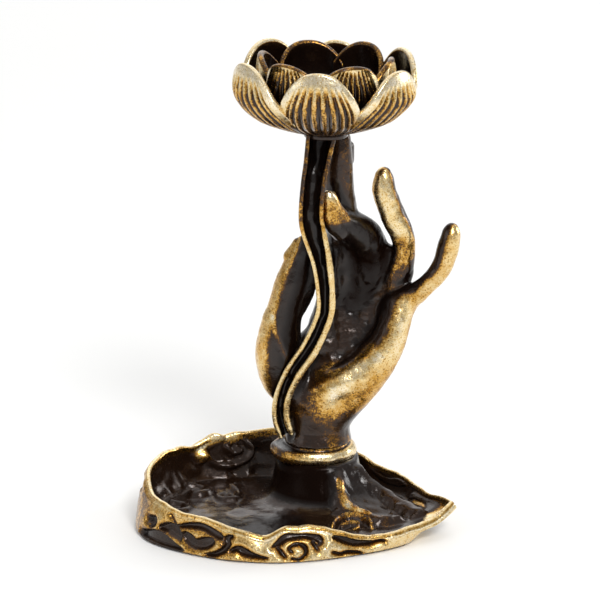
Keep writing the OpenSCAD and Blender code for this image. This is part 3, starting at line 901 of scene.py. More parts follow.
@dataclass
class LeafDish:
    """Leaf-shaped tray with a pierced-looking scroll wall, a rolled rim and a mound under the wrist."""

    # Rim from the tip by way of the back: x, y, top and radius of the roll; foot: x and y
    rim: Points = ((32.2, -4.8, 6.8, 0.6), (27.5, 1.4, 6.8, 0.5), (21.6, 10.8, 7.5, 0.5),
                   (13.8, 16.9, 7.8, 0.45), (5, 20.6, 9.4, 0.45), (-4, 22.3, 12, 0.5),
                   (-10.4, 22.4, 12.8, 0.6), (-20, 20.2, 11.6, 0.7), (-27.2, 14, 11.6, 0.6),
                   (-31.2, 3.6, 10.2, 0.5), (-29.8, -6, 9, 0.5), (-25.6, -12.4, 8.2, 0.55),
                   (-18, -17.2, 7.4, 0.65), (-10.3, -20.6, 5.8, 0.75), (-3, -20.6, 6.6, 0.85),
                   (5, -19.2, 5.8, 0.85), (13.6, -17.2, 4.3, 0.75), (20.5, -14.6, 4, 0.8),
                   (27, -9.8, 4.3, 0.8))
    foot: Points = ((24.2, -5.6), (23.4, 0), (20.6, 9.6), (13.4, 16.4), (5, 20.6), (-4, 22.4), (-10.4, 22.5),
                    (-20, 20.4), (-28.4, 14), (-32.9, 3), (-32, -7.2), (-27.4, -13.6), (-18.8, -19.2),
                    (-11.4, -21.8), (-3.6, -22.6), (5, -21), (13.6, -17.6), (20.4, -13.6), (23.2, -10.2))
    # Waves of the rim: x, y, half width, rise and swelling of the roll
    humps: Points = ((-18.4, 20.6, 2.0, 1.5, 0.35), (-14.6, 21.6, 2.6, 1.0, 0.25),
                     (-22.8, 17.8, 1.8, -0.9, 0), (-30.8, 6, 7, 1, 0.1), (-4, 22.3, 4.5, 1.9, 0),
                     (12.6, 17.4, 4.6, 2.0, 0), (-6.6, -20.8, 2.2, -1.2, 0.05), (1.6, -19.9, 3.0, 0.4, 0.05))
    sharpness: float = 0.7
    hub: tuple[float, float] = (4.2, 9.6)
    bore: float = 2.2
    foot_z: float = 0.3
    floor_z: float = 3.4
    mound_z: float = 12.2
    mound_r: float = 8.5
    # Stations between two points of the rim, and rings of each zone
    steps: int = 44
    wall_rings: int = 48
    roll_rings: int = 10
    cove_rings: int = 30
    floor_rings: int = 56
    cove: float = 2.6
    # Sunk pockets of the front wall: x, share of the height and half width
    pockets: tuple[Points, ...] = (
        ((-30.6, 0.12, 0.62), (-28.6, 0.2, 1.0), (-26.4, 0.18, 1.12), (-24.1, 0.1, 0.75), (-22.6, 0.05, 0.3)),
        ((-29.9, 0.55, 0.5), (-29.0, 0.55, 0.7), (-29.4, 0.41, 0.3)),
        ((-26.1, 0.89, 0.17), (-24.4, 0.67, 0.23), (-22.6, 0.42, 0.25)),
        ((-27.6, 0.48, 0.38), (-25.9, 0.57, 0.88), (-24.4, 0.51, 0.95), (-23.4, 0.38, 0.5)),
        ((-24.4, 0.7, 0.2), (-22.4, 0.77, 0.45), (-20.4, 0.82, 0.55), (-18.4, 0.81, 0.6), (-16.4, 0.74, 0.7),
         (-15.4, 0.71, 0.55)),
        ((-22.4, 0.5, 0.7), (-21.6, 0.42, 0.95), (-20.2, 0.33, 0.85), (-18.8, 0.38, 1.05),
         (-17.6, 0.47, 0.95), (-17.0, 0.51, 0.6)),
        ((-13.4, 0.84, 0.35), (-14.2, 0.71, 0.75), (-13.9, 0.53, 0.7), (-14.7, 0.31, 0.62),
         (-16.4, 0.14, 0.5), (-17.9, 0.11, 0.2)),
        ((-12.9, 0.38, 0.45), (-11.7, 0.47, 0.75), (-10.4, 0.39, 0.9), (-8.4, 0.31, 0.62), (-5.7, 0.21, 0.2)),
        ((-4.9, 0.6, 0.25), (-3.9, 0.65, 0.7), (-2.4, 0.78, 0.75), (0.1, 0.83, 0.55), (2.6, 0.78, 0.55),
         (4.3, 0.73, 0.8), (4.8, 0.61, 0.5), (4.1, 0.51, 0.25)),
        ((-0.9, 0.34, 0.2), (-1.5, 0.47, 0.28), (-0.3, 0.6, 0.32), (1.5, 0.5, 0.38), (1.8, 0.26, 0.34),
         (0.4, 0.1, 0.26), (-0.8, 0.15, 0.18)),
        ((-3.9, 0.51, 0.35), (-3.1, 0.37, 0.45), (-2.1, 0.19, 0.25)),
        ((3.1, 0.64, 0.35), (3.7, 0.51, 0.45), (4.2, 0.39, 0.3)),
        ((7.6, 0.88, 0.5), (9.6, 0.82, 0.9), (12.1, 0.74, 0.8), (14.6, 0.77, 0.6), (17.1, 0.85, 0.4),
         (17.7, 0.78, 0.2)),
        ((7.2, 0.29, 0.25), (8.6, 0.2, 0.35), (10.1, 0.27, 0.4), (12.1, 0.22, 0.35), (13.1, 0.07, 0.2)))
    # The pattern comes again at these lengths along the wall.
    repeats: tuple[float, ...] = (0.0, -62.0, -124.0)
    scrolls: tuple[Scroll, ...] = (
        Scroll(Face.INSIDE, 1.7, 1.6, 0.8,
               ((-13.4, 12.6), (-16.6, 12.4), (-19.6, 11.3), (-20.9, 9.6), (-20.2, 8.2))),
        Scroll(Face.INSIDE, 0.95, 1.5, 0.14,
               ((-20.4, 11.2), (-20.0, 8.4), (-17.6, 6.4), (-14.4, 5.9), (-11.4, 7.0), (-10.2, 9.4),
                (-11.4, 11.4), (-13.8, 11.6), (-15.2, 10.0), (-14.2, 8.6), (-12.9, 9.2))),
        # The pale crest of this ridge towards the tip is a painted highlight.
        Scroll(Face.FLOOR, 1.5, 2.2, 0.8, ((8.8, -0.4), (9.5, -3.0), (11.2, -5.8), (14.4, -8.0))),
        Scroll(Face.FLOOR, 3.0, 1.9, 0.14,
               ((7.0, 2.4), (8.6, -1.4), (10.4, -4.4), (13.4, -7.4), (17.5, -9.6), (23, -10))),
        Scroll(Face.FLOOR, 3.0, 1.7, 0.1, ((10.8, 6.0), (14.6, 4.2), (18.2, 2.0), (21.5, -1.4), (25, -4))),
        Scroll(Face.FLOOR, 0.55, 2.0, 0.55,
               ((7.0, -14.4), (8.2, -10.2), (10.8, -8.2), (14.0, -10.2), (15.4, -13.2), (12.2, -14.8),
                (9.4, -14.6))),
        Scroll(Face.FLOOR, 0.45, 1.4, 0.5, ((9.0, -12.4), (10.8, -11.0), (12.6, -12.2), (11.4, -13.2))),
        Scroll(Face.FLOOR, 1.1, 1.1, 0.02,
               ((-13.9, 12.4), (-12.4, 9.4), (-12.8, 6.2), (-15.2, 5.2), (-16.6, 7.0), (-15.2, 8.6),
                (-14.4, 7.6))),
        Scroll(Face.FLOOR, 1.3, 1.2, 0.02,
               ((-22.7, 12.6), (-19.5, 11.8), (-18.4, 8.8), (-20.5, 6.6), (-22.4, 8.0), (-21.0, 9.4))),
        Scroll(Face.FLOOR, 1.2, 1.0, 0.02,
               ((-26.5, 3.0), (-23.5, 2.2), (-22.6, -1.0), (-24.8, -2.8), (-26.2, -1.0))))

    def outline(self) -> Outline:
        """Run the lines of rim and foot round the leaf, with a keen tip.

        Returns:
            All lines that the rings follow.
        """
        rim = smooth_line(self.rim, self.steps, True)
        foot = smooth_line(self.foot, self.steps, True)
        share = (np.arange(self.steps) / self.steps)[:, None]
        for side, ends, pull in ((rim[:self.steps], (0, 1), 1 - share), (rim[-self.steps:], (-1, 0), share)):
            first, last = (np.array(self.rim[k]) for k in ends)
            side += (first + (last - first) * share - side) * (self.sharpness * pull)
        middle = (rim[:, :2] + foot) / 2
        spots = np.column_stack([middle, np.zeros(len(middle))])
        for x, y, half, rise, roll in self.humps:
            near = np.exp(-(np.hypot(rim[:, 0] - x, rim[:, 1] - y) / half) ** 2)
            rim[:, 2:] += near[:, None] * (rise, roll)
        rim[:, 2] += 0.5 * lumps(spots, 5.5, 12) + 0.2 * lumps(spots, 2.4, 13)
        along = np.roll(middle, -1, axis=0) - np.roll(middle, 1, axis=0)
        along /= np.linalg.norm(along, axis=1, keepdims=True)
        away, foot_away = rim[:, :2] - self.hub, foot - self.hub
        far, foot_far = np.linalg.norm(away, axis=1), np.linalg.norm(foot_away, axis=1)
        lengths = np.linalg.norm(np.diff(middle, axis=0), axis=1)
        return Outline(
            rim=rim, foot=foot, middle=middle, place=np.concatenate([[0], np.cumsum(lengths)]),
            out=np.stack([along[:, 1], -along[:, 0]], axis=1), away=away / far[:, None], far=far,
            foot_away=foot_away / foot_far[:, None], foot_far=foot_far,
            cove=np.clip(far - 2 * rim[:, 3] - self.mound_r - 0.5, 0.3, self.cove))

    def build(self) -> Shape:
        """Draw the dish as rings from the screw hole under the mound, over the rim, to the top of the mound.

        Returns:
            The closed dish with its rubbed places.
        """
        lines = self.outline()
        zones = (self.underside, self.wall, self.rolled_rim, self.inner_wall, self.tray_floor)
        rings, rub = zip(*(zone(lines) for zone in zones))
        return Shape.grid(np.concatenate(rings), np.concatenate(rub), wrap=True)

    def underside(self, lines: Outline) -> Zone:
        """Draw the hollow under the dish.

        Args:
            lines: Lines of the dish.

        Returns:
            Rings and their brightness.
        """
        n = len(lines.foot)
        ceiling = self.mound_z - 3.2
        radii = (np.full(n, self.bore), np.full(n, 6.6), np.full(n, 7.4),
                 np.maximum(lines.foot_far - 3.4, 8.0), lines.foot_far - 2.2, lines.foot_far - 0.4)
        levels = (ceiling, ceiling, self.floor_z, 1.6, 0.0, 0.0)
        rings = [lifted(self.hub + lines.foot_away * r[:, None], np.full(n, z))
                 for r, z in zip(radii, levels)]
        return np.array(rings), np.full((len(rings), n), 0.12)

    def wall(self, lines: Outline) -> Zone:
        """Draw the outer wall with its scroll bands between sunk pockets.

        Args:
            lines: Lines of the dish.

        Returns:
            Rings and their brightness.
        """
        t = np.linspace(0, 1, self.wall_rings)[:, None]
        top = lines.rim[:, 2] - lines.rim[:, 3]
        z = self.foot_z + (top - self.foot_z) * t
        spots = np.column_stack([np.broadcast_to(lines.place, z.shape).reshape(-1), z.reshape(-1)])
        gap = self.pocket_gap(lines, top, spots).reshape(z.shape)
        edges = ease(t, 0, 0.06) * (1 - ease(t, 0.94, 1))
        rise = edges * (0.45 * ease(gap, 0, 0.9) - 0.95 * ease(-gap, -0.25, 0.5) - 0.1)
        bulge = 0.3 * np.sin(np.pi * t)
        hang = ease(np.linalg.norm(lines.rim[:, :2] - lines.foot, axis=1), 2.2, 4.5)
        share = (t + (ease(t, 0.45, 0.88) - t) * hang)[..., None]
        xy = lines.foot * (1 - share) + lines.rim[:, :2] * share + lines.out * (bulge + rise)[..., None]
        pale = ease(lines.middle[:, 0], -16, -4)
        rub = 0.42 + 0.12 * pale + (0.16 + 0.04 * pale) * ease(gap, 0.0, 0.8)
        rub = rub - (0.27 + 0.15 * pale) * ease(-gap, -0.3, 0.35)
        rub = np.clip(rub + 0.1 * ease(t, 0.9, 1) - 0.16 * ease(-lines.out[:, 0], 0.8, 0.97), 0, 1)
        return lifted(xy, z), rub

    def pocket_gap(self, lines: Outline, top: np.ndarray, spots: np.ndarray) -> np.ndarray:
        """Measure how far points of the wall lie from the nearest pocket.

        Args:
            lines: Lines of the dish.
            top: Height of the wall at each station.
            spots: Length along the wall and height of each point.

        Returns:
            Distances, negative inside a pocket.
        """
        left = int(np.argmin(lines.middle[:, 0]))
        picks = np.arange(left, len(lines.middle))
        order = picks[np.argsort(lines.middle[picks, 0])]
        gap = np.full(len(spots), 9.0)
        for pocket in self.pockets:
            fine = smooth_line(pocket, 5)
            along = np.interp(fine[:, 0], lines.middle[order, 0], lines.place[order])
            for shift in self.repeats:
                s = along + shift
                tall = np.interp(s, lines.place, top)
                near = np.abs(spots[:, 0] - s.mean()) < np.ptp(s) / 2 + 4
                if s.min() > 0 and near.any():
                    band = np.column_stack([s, tall * fine[:, 1], fine[:, 2] * np.clip(tall / 6, 0.8, 1.5)])
                    gap[near] = np.minimum(gap[near], distance_to(spots[near], band))
        return gap

    def rolled_rim(self, lines: Outline) -> Zone:
        """Draw the rounded rim.

        Args:
            lines: Lines of the dish.

        Returns:
            Rings and their brightness.
        """
        turn = np.radians(np.linspace(18, 180, self.roll_rings))[:, None]
        bead = lines.rim[:, 3]
        xy = lines.rim[:, :2] - lines.away * (bead * (1 - np.cos(turn)))[..., None]
        z = lines.rim[:, 2] - bead + bead * np.sin(turn)
        rub = 0.54 + 0.24 * ease(turn, 0.5, 1.4) - 0.42 * ease(turn, 2.1, 3.1) * (1 - ease(bead, 0.8, 1.0))
        return lifted(xy, z), rub

    def inner_wall(self, lines: Outline) -> Zone:
        """Draw the inside of the wall with its cove and the curl at the back.

        Args:
            lines: Lines of the dish.

        Returns:
            Rings and their brightness.
        """
        q = np.linspace(0.03, 1, self.cove_rings)[:, None]
        bead = lines.rim[:, 3]
        inset = 2 * bead + lines.cove * (1 - np.cos(q * np.pi / 2))
        z = self.floor_z + (lines.rim[:, 2] - bead - self.floor_z) * (1 - np.sin(q * np.pi / 2))
        xy = lines.rim[:, :2] - lines.away * inset[..., None]
        spots = lifted(xy, z).reshape(-1, 3)
        ground = 0.16
        rise, rub = self.raised(spots[:, ::2], Face.INSIDE, ground)
        behind = ease(spots[:, 1], 8, 12)
        rise = rise * behind + 0.75 * lumps(spots, 4.2, 11) + 0.32 * lumps(spots, 2.1, 15)
        rise = rise.reshape(z.shape) * ease(q, 0.03, 0.2)
        # The inner wall is a little lighter towards the left: a painted reflection.
        rub = ground + 0.03 * ease(-spots[:, 0], 2, 20) + (rub - ground) * behind
        rub = rub.reshape(z.shape) + 0.25 * (1 - ease(q, 0.03, 0.1))
        return lifted(xy - lines.away * rise[..., None], z + 0.4 * rise * q), rub

    def tray_floor(self, lines: Outline) -> Zone:
        """Draw the floor, which climbs to the mound: steeply on the left, in long roots towards the tip.

        Args:
            lines: Lines of the dish.

        Returns:
            Rings and their brightness.
        """
        s = np.linspace(0.985, 0, self.floor_rings)[:, None]
        length = 0.05 + 0.22 * ((1 + lines.away @ lines.away[0]) / 2) ** 3
        radius = self.mound_r + (lines.far - 2 * lines.rim[:, 3] - lines.cove - self.mound_r) * s
        xy = np.array(self.hub) + lines.away * radius[..., None]
        z = self.floor_z + (self.mound_z - self.floor_z) * (np.exp(-s / length) - s * np.exp(-1 / length))
        spots = lifted(xy, z).reshape(-1, 3)
        x, y, high = spots[:, 0], spots[:, 1], spots[:, 2] - self.floor_z
        rise, rub = self.raised(spots[:, :2], Face.FLOOR, 0.02)
        # Painted shade: the steep left flank of the mound and the front left of the floor are pushed below
        # zero, so they go black and lose their sheen.
        shaded_flank = ease(high, 0.6, 3) * (1 - ease(x, 5.5, 9))
        front = ease(-y, 2, 9) * (1 - ease(x, -2, 4))
        rub = rub + 0.13 * (1 - ease(high, 0.5, 3)) - 0.34 * shaded_flank - 0.34 * front
        ends = ease(s, 0, 0.12) * (1 - ease(s, 0.94, 0.985))
        rough = 0.06 + 0.11 * ease(x, 5, 9)
        swell = 0.28 + 0.34 * ease(-x, 8, 14) * ease(y, 0, 5)
        bumps = rise + swell * lumps(spots, 4.0, 14) + rough * lumps(spots, 1.5, 16)
        rings = lifted(xy, z + ends * bumps.reshape(z.shape))
        bore = lifted(np.array(self.hub) + lines.away * self.bore, np.full(len(lines.far), self.mound_z))
        return (np.concatenate([rings, bore[None]]),
                np.concatenate([rub.reshape(z.shape), np.full((1, len(bore)), 0.05)]))

    def raised(self, spots: np.ndarray, face: Face, ground: float) -> tuple[np.ndarray, np.ndarray]:
        """Raise the scrolls of one face.

        Args:
            spots: Points in the plane of the scrolls.
            face: Which scrolls.
            ground: How far the ground is rubbed bright.

        Returns:
            Height and rubbed brightness at each point.
        """
        rise = np.zeros(len(spots))
        rub = np.full(len(spots), ground)
        uneven = lumps(lifted(spots, np.zeros(len(spots))), 1.3, 17)
        for scroll in self.scrolls:
            if scroll.face is face:
                share = distance_to(spots, smooth_line(scroll.points, 6)) / scroll.half
                share = np.clip(share * (1 + 0.3 * uneven), 0, 1)
                rise = np.maximum(rise, scroll.rise * (1 - share ** 2) ** 1.5)
                shine = (scroll.shine - ground) * (0.62 + 0.38 * uneven) * (1 - ease(share, 0.3, 0.85))
                rub = np.maximum(rub, ground + shine)
        return rise, rub

    def dress(self, finishes: Finishes) -> None:
        """Put the dish into the scene."""
        settle(self.build().to_object("leaf_dish_cast"), Body.BASE, Slot.ANTIQUE, finishes.antique,
               "leaf_dish")


@dataclass
class WristCollar:
    """Rolled cuff between mound and wrist."""

    centre: Place = (4.2, 9.6, 12.2)
    # Radius and height of its section
    profile: Points = ((5.46, 0.0), (7.3, 0.0), (7.9, 0.3), (8.25, 0.95), (8.25, 1.6), (7.95, 2.2),
                       (7.5, 2.55), (7.1, 2.6), (6.8, 2.4), (6.5, 2.7), (6.3, 3.1), (5.46, 3.2))
    groove_r: float = 6.75
    shine: float = 0.62

    def build(self) -> Shape:
        """Turn the cuff, make its roll a little uneven and swell it on the left.

        Returns:
            The closed cuff with its rubbed places.
        """
        fine = smooth_line(self.profile, 4)
        shape = Shape.turned(tuple(map(tuple, fine)), self.centre, self.shine, 160)
        off = shape.points - np.array(self.centre)
        radius = np.linalg.norm(off[:, :2], axis=1)
        free = ease(radius, 5.8, 7.2)
        left = np.clip(-off[:, 0] / radius - 0.35 * off[:, 1] / radius, 0, 1) ** 3
        grow = free * (0.26 * lumps(shape.points, 2.4, 21) + 1.5 * left)
        shape.points[:, :2] += off[:, :2] / radius[:, None] * grow[:, None]
        shape.points[:, 2] += free * 0.2 * lumps(shape.points, 3.2, 22)
        groove = np.clip(1 - np.abs(radius - self.groove_r) / 0.4, 0, 1)
        shape.rub = np.clip(shape.rub + 0.16 * ease(radius, 7.4, 8.1) - 0.6 * groove - 0.42 * left, 0, 1)
        return shape

    def dress(self, finishes: Finishes) -> None:
        """Put the cuff into the scene."""
        settle(self.build().to_object("wrist_collar_cast"), Body.BASE, Slot.RUBBED, finishes.antique,
               "wrist_collar")


@dataclass
class StemChannel:
    """Open channel that leads the smoke from the lotus down to the wrist, with a bead along each lip."""

    # x, y, z, width and depth
    line: Points = ((4.9, 3.4, 82.3, 6.2, 5.6), (3.9, 2.2, 76.3, 5.3, 4.4), (3.2, 1.4, 72, 5.0, 3.8),
                    (2.8, 1, 66, 5.0, 3.5), (3.3, 1, 62.6, 5.0, 3.4), (4.9, 1, 56.2, 4.1, 3.2),
                    (5.7, 1, 49.6, 3.7, 3.1), (5.4, 1.2, 44.8, 3.6, 3.1), (2.6, 2.2, 38, 3.7, 3.1),
                    (-0.8, 3.4, 32.4, 3.6, 3.1), (-3.0, 4.6, 26.8, 3.4, 2.9), (-3.4, 5.3, 22, 3.4, 2.8),
                    (-2.2, 5.5, 17.8, 3.2, 2.6))
    wall: float = 0.9
    top: float = 82.36
    lip_top: float = 81.9
    lotus_axis: tuple[float, float] = (5.8, 4.0)
    # Radius and height of the round head under the lotus
    head: Points = ((2.56, 81.2), (4.3, 81.2), (4.45, 81.4), (4.45, 82.38), (2.56, 82.38))

    def path(self) -> tuple[np.ndarray, np.ndarray, np.ndarray]:
        """Follow the channel.

        Returns:
            Points with width and depth, and the across and depth directions there.
        """
        line = smooth_line(self.line, 14)
        run = np.gradient(line[:, :3], axis=0)
        run /= np.linalg.norm(run, axis=1, keepdims=True)
        deep = np.array([0.0, 1.0, 0.0]) - run[:, 1:2] * run
        deep /= np.linalg.norm(deep, axis=1, keepdims=True)
        return line, np.cross(deep, run), deep

    def build(self) -> Shape:
        """Sweep the trough and add the round head under the lotus.

        Returns:
            The channel without its beads.
        """
        line, across, deep = self.path()
        turn = np.pi * np.arange(19) / 18
        lip = np.pi * np.arange(1, 6) / 6
        w, d = line[:, 3:4], line[:, 4:5]
        t = self.wall
        a = np.hstack([w / 2 * np.cos(turn), -w / 2 + t / 2 - t / 2 * np.cos(lip),
                       (w / 2 - t) * np.cos(turn[::-1]), w / 2 - t / 2 - t / 2 * np.cos(lip)])
        front = -d / 2 - t / 2 * np.sin(lip)
        b = np.hstack([-d / 2 + d * np.sin(turn) ** 0.7, front,
                       -d / 2 + (d - t) * np.sin(turn[::-1]) ** 0.7, front])
        rings = line[:, None, :3] + a[..., None] * across[:, None] + b[..., None] * deep[:, None]
        outside = np.full((len(line), len(turn)), 0.3)
        bright = np.repeat(0.7 - 0.42 * ease(line[:, 2:3], 58, 70), len(lip), axis=1)
        rub = np.hstack([outside, bright, 0 * outside, bright])
        hollow = np.zeros(rings.shape[:2])
        first = len(turn) + len(lip)
        hollow[:, first + 1:first + len(turn) - 1] = 0.3
        flat = rings.reshape(-1, 3)
        swell = hollow.reshape(-1) * lumps(flat, 1.5, 31) + 0.06 * lumps(flat, 2.5, 32)
        trough = Shape.grid(rings + swell.reshape(hollow.shape)[..., None] * deep[:, None], rub)
        trough.points[:, 2] = np.minimum(trough.points[:, 2], self.top)
        return trough.plus(Shape.turned(self.head, (*self.lotus_axis, 0.0), 0.15))

    def lips(self, finishes: Finishes) -> bpy.types.Object:
        """Lay an uneven bead along both lips with Geometry Nodes.

        Args:
            finishes: Materials of the burner.

        Returns:
            Both beads as one plain object.
        """
        line, across, deep = self.path()
        half = line[:, 3:4] / 2 - self.wall / 2
        front = line[:, :3] - deep * line[:, 4:5] / 2
        left, right = front - across * half, front + across * half
        if left[:, 0].mean() > right[:, 0].mean():
            left, right = right, left
        n = len(line)
        z = line[:, 2]
        end = np.minimum(1, 0.35 + np.arange(n)[::-1] / 8)
        thin, thick = 0.32 + 0.18 * (1 - ease(z, 44, 60)), 0.46 + 0.22 * (1 - ease(z, 56, 66))
        high = ease(z, 60, 70)
        points = np.vstack([left, right])
        points[:, 2] = np.minimum(points[:, 2], self.lip_top)
        edges = [(k, k + 1) for start in (0, n) for k in range(start, start + n - 1)]
        mesh = bpy.data.meshes.new("lip_lines")
        mesh.from_pydata((points * MM).tolist(), edges, [])
        store(mesh, "size", np.concatenate([thin * end, thick * end]) * MM)
        store(mesh, "shine", np.concatenate([1 - 0.42 * high, 1 - 0.52 * high]))
        return grown("stem_lips_cast", mesh, self.lip_tree(),
                     {"Unevenness": 0.6, "Lump length": 3.0 * MM, "Rub": 0.7, "Seed": 7.0,
                      "Brass": finishes.antique})

    @staticmethod
    def lip_tree() -> bpy.types.NodeTree:
        """Build the tree that runs a bead of uneven thickness along lines.

        Returns:
            The tree.
        """
        tree, given = new_tree("lip bead", {"Unevenness": "Float", "Lump length": "Float", "Rub": "Float",
                                            "Seed": "Float", "Brass": "Material"})
        line = put(tree, "GeometryNodeMeshToCurve", {"Mesh": given["Geometry"]})
        size, shine = (put(tree, "GeometryNodeInputNamedAttribute", {"Name": name}, data_type="FLOAT")
                       .outputs["Attribute"] for name in ("size", "shine"))
        rate = put(tree, "ShaderNodeMath", {0: 1.0, 1: given["Lump length"]}, operation="DIVIDE")
        spot = put(tree, "GeometryNodeInputPosition")
        lump = put(tree, "ShaderNodeTexNoise",
                   {"Vector": spot.outputs[0], "W": given["Seed"], "Scale": rate.outputs[0], "Detail": 1.0},
                   noise_dimensions="4D")
        share = put(tree, "ShaderNodeMath", {0: lump.outputs["Fac"], 1: 0.5}, operation="SUBTRACT")
        share = put(tree, "ShaderNodeMath", {0: share.outputs[0], 1: given["Unevenness"], 2: 1.0},
                    operation="MULTIPLY_ADD")
        width = put(tree, "ShaderNodeMath", {0: share.outputs[0], 1: size}, operation="MULTIPLY")
        section = put(tree, "GeometryNodeCurvePrimitiveCircle", {"Resolution": 14, "Radius": 1.0})
        bead = put(tree, "GeometryNodeCurveToMesh",
                   {"Curve": line.outputs["Curve"], "Profile Curve": section.outputs[0],
                    "Scale": width.outputs[0], "Fill Caps": True})
        bright = put(tree, "ShaderNodeMath", {0: shine, 1: given["Rub"]}, operation="MULTIPLY")
        marked = put(tree, "GeometryNodeStoreNamedAttribute",
                     {"Geometry": bead.outputs[0], "Name": "rub", "Value": bright.outputs[0]},
                     data_type="FLOAT", domain="POINT")
        smooth = put(tree, "GeometryNodeSetShadeSmooth", {0: marked.outputs[0]})
        end_tree(tree, smooth.outputs[0], given["Brass"])
        return tree

    def dress(self, finishes: Finishes) -> None:
        """Put the channel and its beads into the scene."""
        settle(self.build().to_object("stem_channel_cast"), Body.BASE, Slot.ANTIQUE, finishes.antique,
               "stem_channel")
        settle(self.lips(finishes), Body.BASE, Slot.ANTIQUE, finishes.antique)


@dataclass
class PetalRing:
    """One ring of ribbed petals on a turned floor."""

    name: str
    node: str
    # Outer line of a petal as shares of height and radius, and the section of the floor in millimetres
    form: Points
    floor: Points
    # Turn of each petal from -Y in degrees, and its height beside the drawn one
    turns: tuple[float, ...]
    sizes: tuple[float, ...]
    # Height of the dip between two petals, and foot of the inner side
    valley: float
    low: float
    # Ribs on half a petal, and how narrow they are
    ribs: float
    keen: float
    # Brightness of the ribs, of the edge, added towards the tip (rubbed wear and a painted highlight), and of
    # the grooves
    outside: float
    edge: float
    tip: float
    ground: float
    # Shares of the height over which the ribs run out
    ribbed: tuple[float, float] = (0.7, 0.9)
    axis: Place = (5.8, 4.0, 82.4)
    radius: float = 19.0
    height: float = 15.2
    thick: float = 1.25
    rib_depth: float = 0.75
    columns: int = 97
    # How far the ribs draw together towards the tip
    fan: float = 0.6
    # Slope of the flower in degrees along x and y, and the heights between which it sets in
    lean: tuple[float, float] = (-2.4, 1.5)
    lean_from: tuple[float, float] = (4.6, 12)

    def petal(self) -> Shape:
        """Draw one ribbed petal that faces -Y, about the axis of the lotus.

        Returns:
            The closed petal.
        """
        form = smooth_line(self.form, 8)
        levels, spread = form[:, 0] * self.height, form[:, 1] * self.radius
        bottom, top = levels[0], levels[-1]
        even = np.linspace(-1, 1, self.columns)[:, None]
        u = np.sin(even * math.pi / 2) * 0.6 + even * 0.4
        aside = np.abs(u)
        crest = top - self.thick / 2 - (top - self.valley) * aside ** 2.3
        angle = np.radians(-90 + u * 180 / len(self.turns) * 1.1)
        up = np.concatenate([np.linspace(0, 0.9, 34), np.linspace(0.915, 1, 8)])
        hem = np.radians(np.linspace(15, 165, 8))
        tuck = 1.9 * aside ** 2.4
        z = bottom + (crest - bottom) * up
        r = np.interp(z, levels, spread) - tuck * ease(z, bottom, bottom + 5)
        fan = u / (1 - self.fan * up ** 1.4)
        fade = ease(up - 0.14 * aside, *self.ribbed)
        fade = ease(up, 0.0, 0.12) * (1 - fade) * (1 - ease(np.abs(fan), 0.97, 1.12))
        wave = 0.5 - 0.5 * np.cos(2 * math.pi * self.ribs * fan)
        outer_r = r - self.rib_depth * fade * (1 - wave ** (0.6 * self.keen))
        hem_r = r[:, -1:] - self.thick / 2 + self.thick / 2 * np.cos(hem)
        hem_z = crest + self.thick / 2 * np.sin(hem)
        inner_z = self.low + (crest - self.low) * up[::-1][::2]
        inner_r = np.interp(inner_z, levels, spread) - self.thick - tuck * ease(inner_z, bottom, bottom + 5)
        radii = np.hstack([outer_r, hem_r, inner_r])
        heights = np.hstack([z, hem_z, inner_z])
        rings = np.stack([radii * np.cos(angle), radii * np.sin(angle), heights], axis=-1)
        bare = np.maximum(ease(wave ** self.keen, 0.25, 0.75), 1 - fade)
        # The tip term is partly rubbed wear and partly a painted highlight.
        bright = self.ground + (self.outside - self.ground) * bare + self.tip * ease(up, 0.5, 0.95)
        bright = bright * (0.6 + 0.4 * ease(up, 0.0, 0.3))
        bright = bright * (1 - 0.75 * ease(aside, 0.86, 1.0) * (1 - ease(up, 0.7, 0.95)))
        inside = 0.02 + 0.3 * self.edge * (1 - ease(np.arange(inner_z.shape[1]), 0, 2.5))
        hem_shine = np.full((self.columns, len(hem)), self.edge)
        shine = np.hstack([bright, hem_shine, np.tile(inside, (self.columns, 1))])
        return Shape.grid(rings, shine)

    def build(self, finishes: Finishes) -> bpy.types.Object:
        """Set the petals round the floor with Geometry Nodes.

        Args:
            finishes: Materials of the burner.

        Returns:
            The ring as one plain object in place.
        """
        petal = self.petal().to_object(self.name + "_one")
        floor = Shape.turned(self.floor, self.axis, 0.06).to_object(self.name + "_floor")
        gaps = np.diff(self.turns + (self.turns[0] + 360,))
        wide = (gaps + np.roll(gaps, 1)) / 2 * len(gaps) / 360
        mesh = bpy.data.meshes.new(self.name + "_places")
        mesh.from_pydata([Vector(self.axis) * MM] * len(gaps), [], [])
        for name, values in (("turn", np.radians(self.turns)), ("wide", wide), ("tall", self.sizes)):
            store(mesh, name, values)
        piece = grown(self.name, mesh, self.ring_tree(),
                      {"Petal": petal, "Floor": floor, "Brass": finishes.antique})
        bpy.data.objects.remove(petal)
        bpy.data.objects.remove(floor)
        points = np.empty(len(piece.data.vertices) * 3, dtype=np.float32)
        piece.data.vertices.foreach_get("co", points)
        points = points.reshape(-1, 3)
        lift = ease(points[:, 2] / MM - self.axis[2], *self.lean_from)
        slope = np.tan(np.radians(self.lean))
        points[:, 2] += (points[:, :2] - np.array(self.axis[:2]) * MM) @ slope * lift
        piece.data.vertices.foreach_set("co", points.reshape(-1))
        piece.data.update()
        return piece

